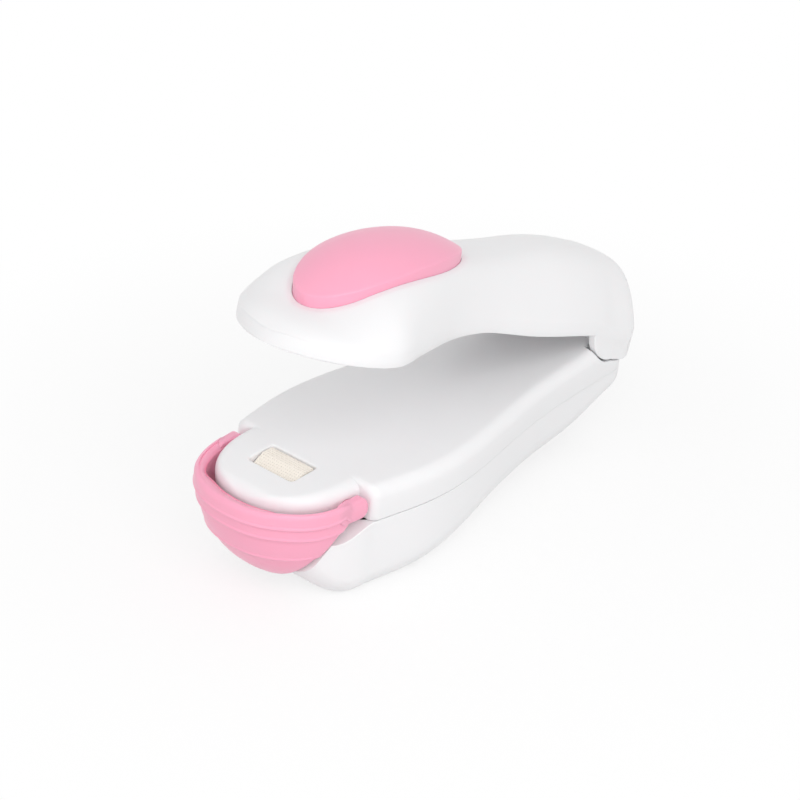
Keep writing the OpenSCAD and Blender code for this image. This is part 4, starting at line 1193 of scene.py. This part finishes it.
class SEALER_OT_base(bpy.types.Operator):
    """Build the two shells of the base and the battery door"""

    bl_idname = "sealer.base"
    bl_label = "Base"

    def execute(self, context):
        s = Shape(context.scene)
        white = finish_of("white plastic")
        upper = carve(upper_outer(s), upper_hollow(s), window_cutter(s))
        recess, through = [], 20.0
        for side in (-1, 1):
            start = (side * (s.ear_in - s.gap), s.hinge_y, s.hinge_z)
            recess.append(rod("recess", start, (side, 0, 0), through, s.ear_r + s.gap))
        for side in (-1, 1):
            recess += [ear_heel(s, side, s.ear_clear, turn) for turn in np.linspace(0, s.open_deg, 4)]
        reach, bore = s.catch_w / 2, s.stud_d / 2 + s.stud_play
        recess.append(rod("stud_hole", (-reach, -s.pivot_y, s.pivot_z), (1, 0, 0), 2 * reach, bore, 40))
        carve(upper, *recess)
        knuckle = [(4.6, 2.9), (4.8, 3.1), (8.9, 3.1), (9.1, 2.9)]
        web_in, web_out, web_half, web_sink = 4.7, 9.0, 2.7, 1.2
        for side in (-1, 1):
            low = (side * web_in, s.hinge_y - web_half, s.deck_z - web_sink)
            high = (side * web_out, s.hinge_y + web_half, s.hinge_z)
            turned = lathe("knuckle", (0, s.hinge_y, s.hinge_z), (side, 0, 0), knuckle)
            join(upper, turned, block("web", low, high))
        deliver(soften(upper), "base", white, ["upper_shell"])

        hollow = carve(lower_hollow(s), catch_room(s, s.wall))
        lower = carve(lower_outer(s), hollow, catch_room(s), door_plan(s, s.seam_gap))
        below, head_h, well_r = 2.0, 1.4, 2.2
        co = np.array([v.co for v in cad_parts["case_screws"].data.vertices]) / MM
        wells = []
        for side in (-1, 1):
            for rear in (False, True):
                part = co[(np.sign(co[:, 0]) == side) & ((co[:, 1] > s.beam_end_y) == rear)]
                low = part[part[:, 2] < part[:, 2].min() + 0.1]
                start = (low[:, 0].mean(), low[:, 1].mean(), -below)
                wells.append(rod("well", start, (0, 0, 1), part[:, 2].min() + head_h + below, well_r, 40))
        carve(lower, *wells)
        deliver(soften(lower), "base", white, ["lower_shell"])

        door = carve(lower_outer(s, "door_form"), door_plan(s, 0.0), operation="INTERSECT")
        carve(door, lower_hollow(s))
        low, high = box_mm("door_screw")
        mid, head_h, well_r = (low + high) / 2, 0.8, 1.8
        carve(door, rod("well", (mid[0], mid[1], -below), (0, 0, 1), low[2] + head_h + below, well_r, 40))
        deliver(soften(door), "base", white, ["battery_door"])
        return {"FINISHED"}


class SEALER_OT_arm(bpy.types.Operator):
    """Build the press arm and dress its liner and press pad"""

    bl_idname = "sealer.arm"
    bl_label = "Press arm"

    def execute(self, context):
        s = Shape(context.scene)
        white = finish_of("white plastic")
        heels = [ear_heel(s, side) for side in (-1, 1)]
        arm = carve(arm_outer(s), ear(s, -1), ear(s, 1), *heels, operation="UNION")
        low, high = box_mm("hinge_pin")
        end_play, pin_play = 0.1, 0.06
        reach, bore = high[0] + end_play, (high[2] - low[2]) / 2 + pin_play
        pin_bore = rod("bore", (-reach, s.hinge_y, s.hinge_z), (1, 0, 0), 2 * reach, bore, 48)
        carve(arm, arm_hollow(s), pad_recess(s), pin_bore)
        deliver(soften(arm), "press_arm", white, ["arm_shell"])
        dress("arm_liner", white)
        dress("press_pad", finish_of("silicone"))
        return {"FINISHED"}


class SEALER_OT_pad(bpy.types.Operator):
    """Build the thumb pad"""

    bl_idname = "sealer.pad"
    bl_label = "Thumb pad"

    def execute(self, context):
        s = Shape(context.scene)
        pad = skin("pad_form", pad_rings(s), s.pad_matrix())
        deliver(soften(pad, 60.0), "press_arm", finish_of("pink plastic"), ["thumb_pad"])
        return {"FINISHED"}


class SEALER_OT_catch(bpy.types.Operator):
    """Build the safety catch with its bar ends and studs"""

    bl_idname = "sealer.catch"
    bl_label = "Safety catch"

    def execute(self, context):
        s = Shape(context.scene)
        catch = catch_form(s)
        inner = s.catch_in
        for side in (-1, 1):
            stud = [(inner - 2, s.stud_d / 2), (inner + 0.2, s.stud_d / 2)]
            join(catch, catch_end(s, side), lathe("stud", (0, -s.pivot_y, s.pivot_z), (side, 0, 0), stud, 32))
        pink = finish_of("pink plastic")
        deliver(soften(catch, 40.0), "safety_catch", pink, ["safety_catch"])
        return {"FINISHED"}


class SEALER_OT_screws(bpy.types.Operator):
    """Set cross-recessed screws in the place of the plain ones"""

    bl_idname = "sealer.screws"
    bl_label = "Screws"

    def execute(self, context):
        s = Shape(context.scene)
        tree = screw_tree()
        steel = finish_of("steel")
        for node, body, head_h, tilt in (("case_screws", "base", 1.4, 0.0), ("door_screw", "base", 0.8, 0.0),
                                         ("liner_screws", "press_arm", 0.7, -math.radians(s.open_deg))):
            turn = np.array(Matrix.Rotation(tilt, 3, "X"))
            points, reach, head_r, shank_r = [], [], 0.0, 9.0
            for part in islands(node):
                flat = part @ turn
                low, high = flat.min(axis=0), flat.max(axis=0)
                mid = (low + high) / 2
                points.append(tuple(turn @ np.array((mid[0], mid[1], low[2]))))
                reach.append(high[2] - low[2])
                head_r = max(head_r, (high[0] - low[0]) / 2)
                top = flat[flat[:, 2] > high[2] - 0.2]
                shank_r = min(shank_r, np.ptp(top[:, 0]) / 2)
            sizes = {"Head radius": head_r * MM, "Head height": head_h * MM, "Shank radius": shank_r * MM,
                     "Tilt": tilt, "Material": steel}
            screws = grow(node + "_form", points, tree, sizes, {"reach": np.array(reach) * MM})
            deliver(soften(screws), body, steel, [node])
        return {"FINISHED"}


class SEALER_OT_springs(bpy.types.Operator):
    """Wind the hinge spring and the two heater springs"""

    bl_idname = "sealer.springs"
    bl_label = "Springs"

    def execute(self, context):
        s = Shape(context.scene)
        steel = finish_of("steel")
        wire, half, leg, start, stop = 0.3, 3.4, 10.0, -90.0, 68.0 + 4 * 360
        r = s.hinge_z - s.deck_z - wire - 0.05

        def at(deg):
            a = math.radians(deg)
            x = half * (2 * (deg - start) / (stop - start) - 1)
            return np.array((x, s.hinge_y + r * math.cos(a), s.hinge_z + r * math.sin(a)))

        out = np.array((0, -math.sin(math.radians(stop)), math.cos(math.radians(stop))))
        path = [at(start) - np.array((0, leg * f, 0)) for f in (1, 0.66, 0.33, 0.1, 0.03)]
        path += [at(a) for a in np.linspace(start, stop, 220)]
        path += [at(stop) + out * leg * f for f in (0.03, 0.1, 0.33, 0.66, 1)]
        spring = soften(tube("arm_spring_form", path, wire, 12))
        spring.data.materials.append(steel)
        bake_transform(spring)
        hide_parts("arm_spring")

        low, high = box_mm("heater_springs")
        wire, turns, travel = 0.25, 5, 1.0
        rise = high[2] - low[2] - 2 * wire
        coils = []
        for part in islands("heater_springs"):
            mid = (part.min(axis=0) + part.max(axis=0)) / 2
            r = np.ptp(part[:, 1]) / 2 - wire
            path = []
            for t in np.linspace(0, turns, turns * 28 + 1):
                a, z = 2 * math.pi * t, low[2] + wire + rise * t / turns
                path.append((mid[0] + r * math.cos(a), mid[1] + r * math.sin(a), z))
            coils.append(tube("coil", path, wire, 10))
        springs = join(*coils)
        springs.name = "heater_springs_form"
        deliver(soften(springs), "base", steel, ["heater_springs"])
        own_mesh(springs)
        return {"FINISHED"}


class SEALER_OT_cloth(bpy.types.Operator):
    """Weave the heater cloth and stretch it over the ridge"""

    bl_idname = "sealer.cloth"
    bl_label = "Heater cloth"

    def execute(self, context):
        s = Shape(context.scene)
        cloth = finish_of("cloth")
        profile, normal, run = ridge_profile(s, *box_mm("heater_cloth"), s.cloth_t)
        wide, fold, tuck = s.window_w - s.cloth_play, s.cloth_fold, 0.12
        total = wide + 2 * fold

        def bend(points):
            """Lays flat points (across, along, height) over the ridge and folds the two ends down."""
            w = np.clip(points[:, 1], 0, run[-1])
            across = points[:, 0] - total / 2
            past = np.maximum(np.abs(across) - wide / 2, 0)
            folded = np.sign(across) * (wide / 2 - tuck + points[:, 2])
            x = np.where(past > 0, folded, across * (1 - 2 * tuck / wide))
            rise = np.where(past > 0, -past, points[:, 2])
            y, z = (np.interp(w, run, profile[:, k]) + rise * np.interp(w, run, normal[:, k]) for k in (0, 1))
            return np.stack([x, y, z], axis=1)

        step = 0.01
        stations = (0.0, fold - step, fold + step, fold + wide - step, fold + wide + step, total)
        ring = [(x, -s.film_t) for x in stations] + [(x, 0.0) for x in reversed(stations)]
        rows = [bend(np.array([(x, w, h) for x, h in ring])) for w in np.linspace(0, run[-1], 90)]
        film = skin("heater_film", [[tuple(p) for p in row] for row in rows])
        # The sheet under the yarns takes the darker cloth colour, painted shade in the gaps of the weave.
        deliver(soften(film, 60.0), "heater", finish_of("shaded cloth ground"), ["heater_cloth"])

        tree = yarn_tree()
        flat, radius = 0.26, 0.40 * s.yarn
        across, along = int(total / s.yarn), int(run[-1] / s.yarn)
        pieces = []
        for name, count, span in (("warp", across, run[-1]), ("weft", along, total)):
            sizes = {"Length": span * MM, "Pitch": s.yarn * MM, "Radius": radius * MM, "Count": count,
                     "Material": cloth}
            yarns = grow(name, [], tree, sizes)
            co = np.empty(len(yarns.data.vertices) * 3, np.float32)
            yarns.data.vertices.foreach_get("co", co)
            co = co.reshape(-1, 3).astype(float) / MM
            co[:, 0] += ((total if name == "warp" else run[-1]) - (count - 1) * s.yarn) / 2
            if name == "weft":
                co = co[:, [1, 0, 2]] * (1, 1, -1)
            co[:, 2] *= flat
            yarns.data.vertices.foreach_set("co", (bend(co) * MM).ravel())
            pieces.append(yarns)
        weave = join(*pieces)
        weave.name = "heater_weave"
        face_outward(weave.data)
        deliver(soften(weave, 70.0), "heater", cloth)
        return {"FINISHED"}


class SEALER_OT_works(bpy.types.Operator):
    """Dress the heater, cells, contacts and wires"""

    bl_idname = "sealer.works"
    bl_label = "Works"

    def execute(self, context):
        dressing = {
            "steel": ["hinge_pin", "heater_strip", "contact_bridge", "contact_negative"],
            "brass": ["contact_positive", "contact_leaves", "heater_terminals"],
            "cell sleeve": ["battery_left", "battery_right"],
            "red sleeve": ["red_wire"],
            "black sleeve": ["black_wire"],
            "heat moulding": ["heater_carrier"],
        }
        for name, nodes in dressing.items():
            for node in nodes:
                dress(node, finish_of(name))
        return {"FINISHED"}


def studio(scene, sky):
    """White surroundings that light the object less than they show."""
    pure = (1.0, 1.0, 1.0, 1.0)
    world = bpy.data.worlds.new("studio")
    scene.world = world
    world.use_nodes = True
    tree = world.node_tree
    back = tree.nodes["Background"]
    back.inputs["Color"].default_value = pure
    back.inputs["Strength"].default_value = sky
    shown = put(tree, "ShaderNodeBackground", {"Color": pure, "Strength": 1.0})
    mix = put(tree, "ShaderNodeMixShader", {"Fac": seen_directly(tree), 1: back.outputs["Background"],
                                            2: shown.outputs["Background"]})
    tree.links.new(mix.outputs["Shader"], tree.nodes["World Output"].inputs["Surface"])


def lamp(name, watts, place, size=0.5):
    """Square lamp that shines on the sealer."""
    aim = Vector((0, 0.02, 0.02))
    light = bpy.data.lights.new(name, "AREA")
    light.energy = watts
    light.size = size
    obj = linked(name, light)
    obj.location = place
    obj.rotation_euler = (aim - Vector(place)).to_track_quat("-Z", "Y").to_euler()


def view_camera(scene):
    """Camera that shows the middle of the shoulder line at the same pixel as the photograph."""
    azimuth, elevation, distance = math.radians(45.2), math.radians(30.8), 0.475
    picture_px, focal_px, sensor_mm = 800.0, 2710.0, 36.0
    seen_at = (303.5, 452.0)
    target = Vector((0, 0, 0.0216))
    level = math.cos(elevation)
    forward = Vector((-math.sin(azimuth) * level, math.cos(azimuth) * level, -math.sin(elevation)))
    right = Vector((math.cos(azimuth), math.sin(azimuth), 0))
    up = right.cross(forward)
    shift = right * (picture_px / 2 - seen_at[0]) + up * (seen_at[1] - picture_px / 2)
    ahead = (forward + shift / focal_px).normalized()
    side = ahead.cross(up).normalized()
    camera = linked("camera", bpy.data.cameras.new("camera"))
    camera.matrix_world = Matrix((side, side.cross(ahead), -ahead)).transposed().to_4x4()
    camera.location = target - forward * distance
    camera.data.sensor_width = sensor_mm
    camera.data.lens = focal_px / picture_px * sensor_mm
    camera.data.clip_start = 0.01
    camera.data.clip_end = 20.0
    scene.camera = camera


class SEALER_OT_stage(bpy.types.Operator):
    """Set up the floor, the lights and the camera"""

    bl_idname = "sealer.stage"
    bl_label = "Stage"

    def execute(self, context):
        scene = context.scene
        look = scene.sealer_look
        floor = block("floor", (-3000, -3000, -4), (3000, 3000, -0.02))
        floor.data.materials.append(pale_floor(look.floor))
        studio(scene, look.sky)
        lamp("right light", look.right, (0.38, -0.22, 0.37))
        lamp("front light", look.front, (-0.10, -0.52, 0.30))
        view_camera(scene)
        scene.view_settings.view_transform = "Standard"
        return {"FINISHED"}


class SEALER_PT_panel(bpy.types.Panel):
    """Sizes and building steps of the bag sealer"""

    bl_idname = "SEALER_PT_panel"
    bl_label = "Bag Sealer"
    bl_space_type = "VIEW_3D"
    bl_region_type = "UI"
    bl_category = "Bag Sealer"

    def draw(self, context):
        for title, group in (("Base", context.scene.sealer_base), ("Arm", context.scene.sealer_arm),
                             ("Catch", context.scene.sealer_catch), ("Look", context.scene.sealer_look)):
            box = self.layout.box()
            box.label(text=title)
            for key in group.__annotations__:
                box.prop(group, key)
        for step in STEPS:
            self.layout.operator(step.bl_idname)


GROUPS = (SealerBase, SealerArm, SealerCatch, SealerLook)
STEPS = (SEALER_OT_base, SEALER_OT_arm, SEALER_OT_pad, SEALER_OT_catch, SEALER_OT_screws, SEALER_OT_springs,
         SEALER_OT_cloth, SEALER_OT_works, SEALER_OT_stage)


def register():
    for cls in (*GROUPS, *STEPS, SEALER_PT_panel):
        bpy.utils.register_class(cls)
    bpy.types.Scene.sealer_base = bpy.props.PointerProperty(type=SealerBase)
    bpy.types.Scene.sealer_arm = bpy.props.PointerProperty(type=SealerArm)
    bpy.types.Scene.sealer_catch = bpy.props.PointerProperty(type=SealerCatch)
    bpy.types.Scene.sealer_look = bpy.props.PointerProperty(type=SealerLook)


def unregister():
    del bpy.types.Scene.sealer_look
    del bpy.types.Scene.sealer_catch
    del bpy.types.Scene.sealer_arm
    del bpy.types.Scene.sealer_base
    for cls in reversed((*GROUPS, *STEPS, SEALER_PT_panel)):
        bpy.utils.unregister_class(cls)


def main():
    register()
    bpy.ops.sealer.base()
    bpy.ops.sealer.arm()
    bpy.ops.sealer.pad()
    bpy.ops.sealer.catch()
    bpy.ops.sealer.screws()
    bpy.ops.sealer.springs()
    bpy.ops.sealer.cloth()
    bpy.ops.sealer.works()
    bpy.ops.sealer.stage()


if __name__ == "__main__":
    main()
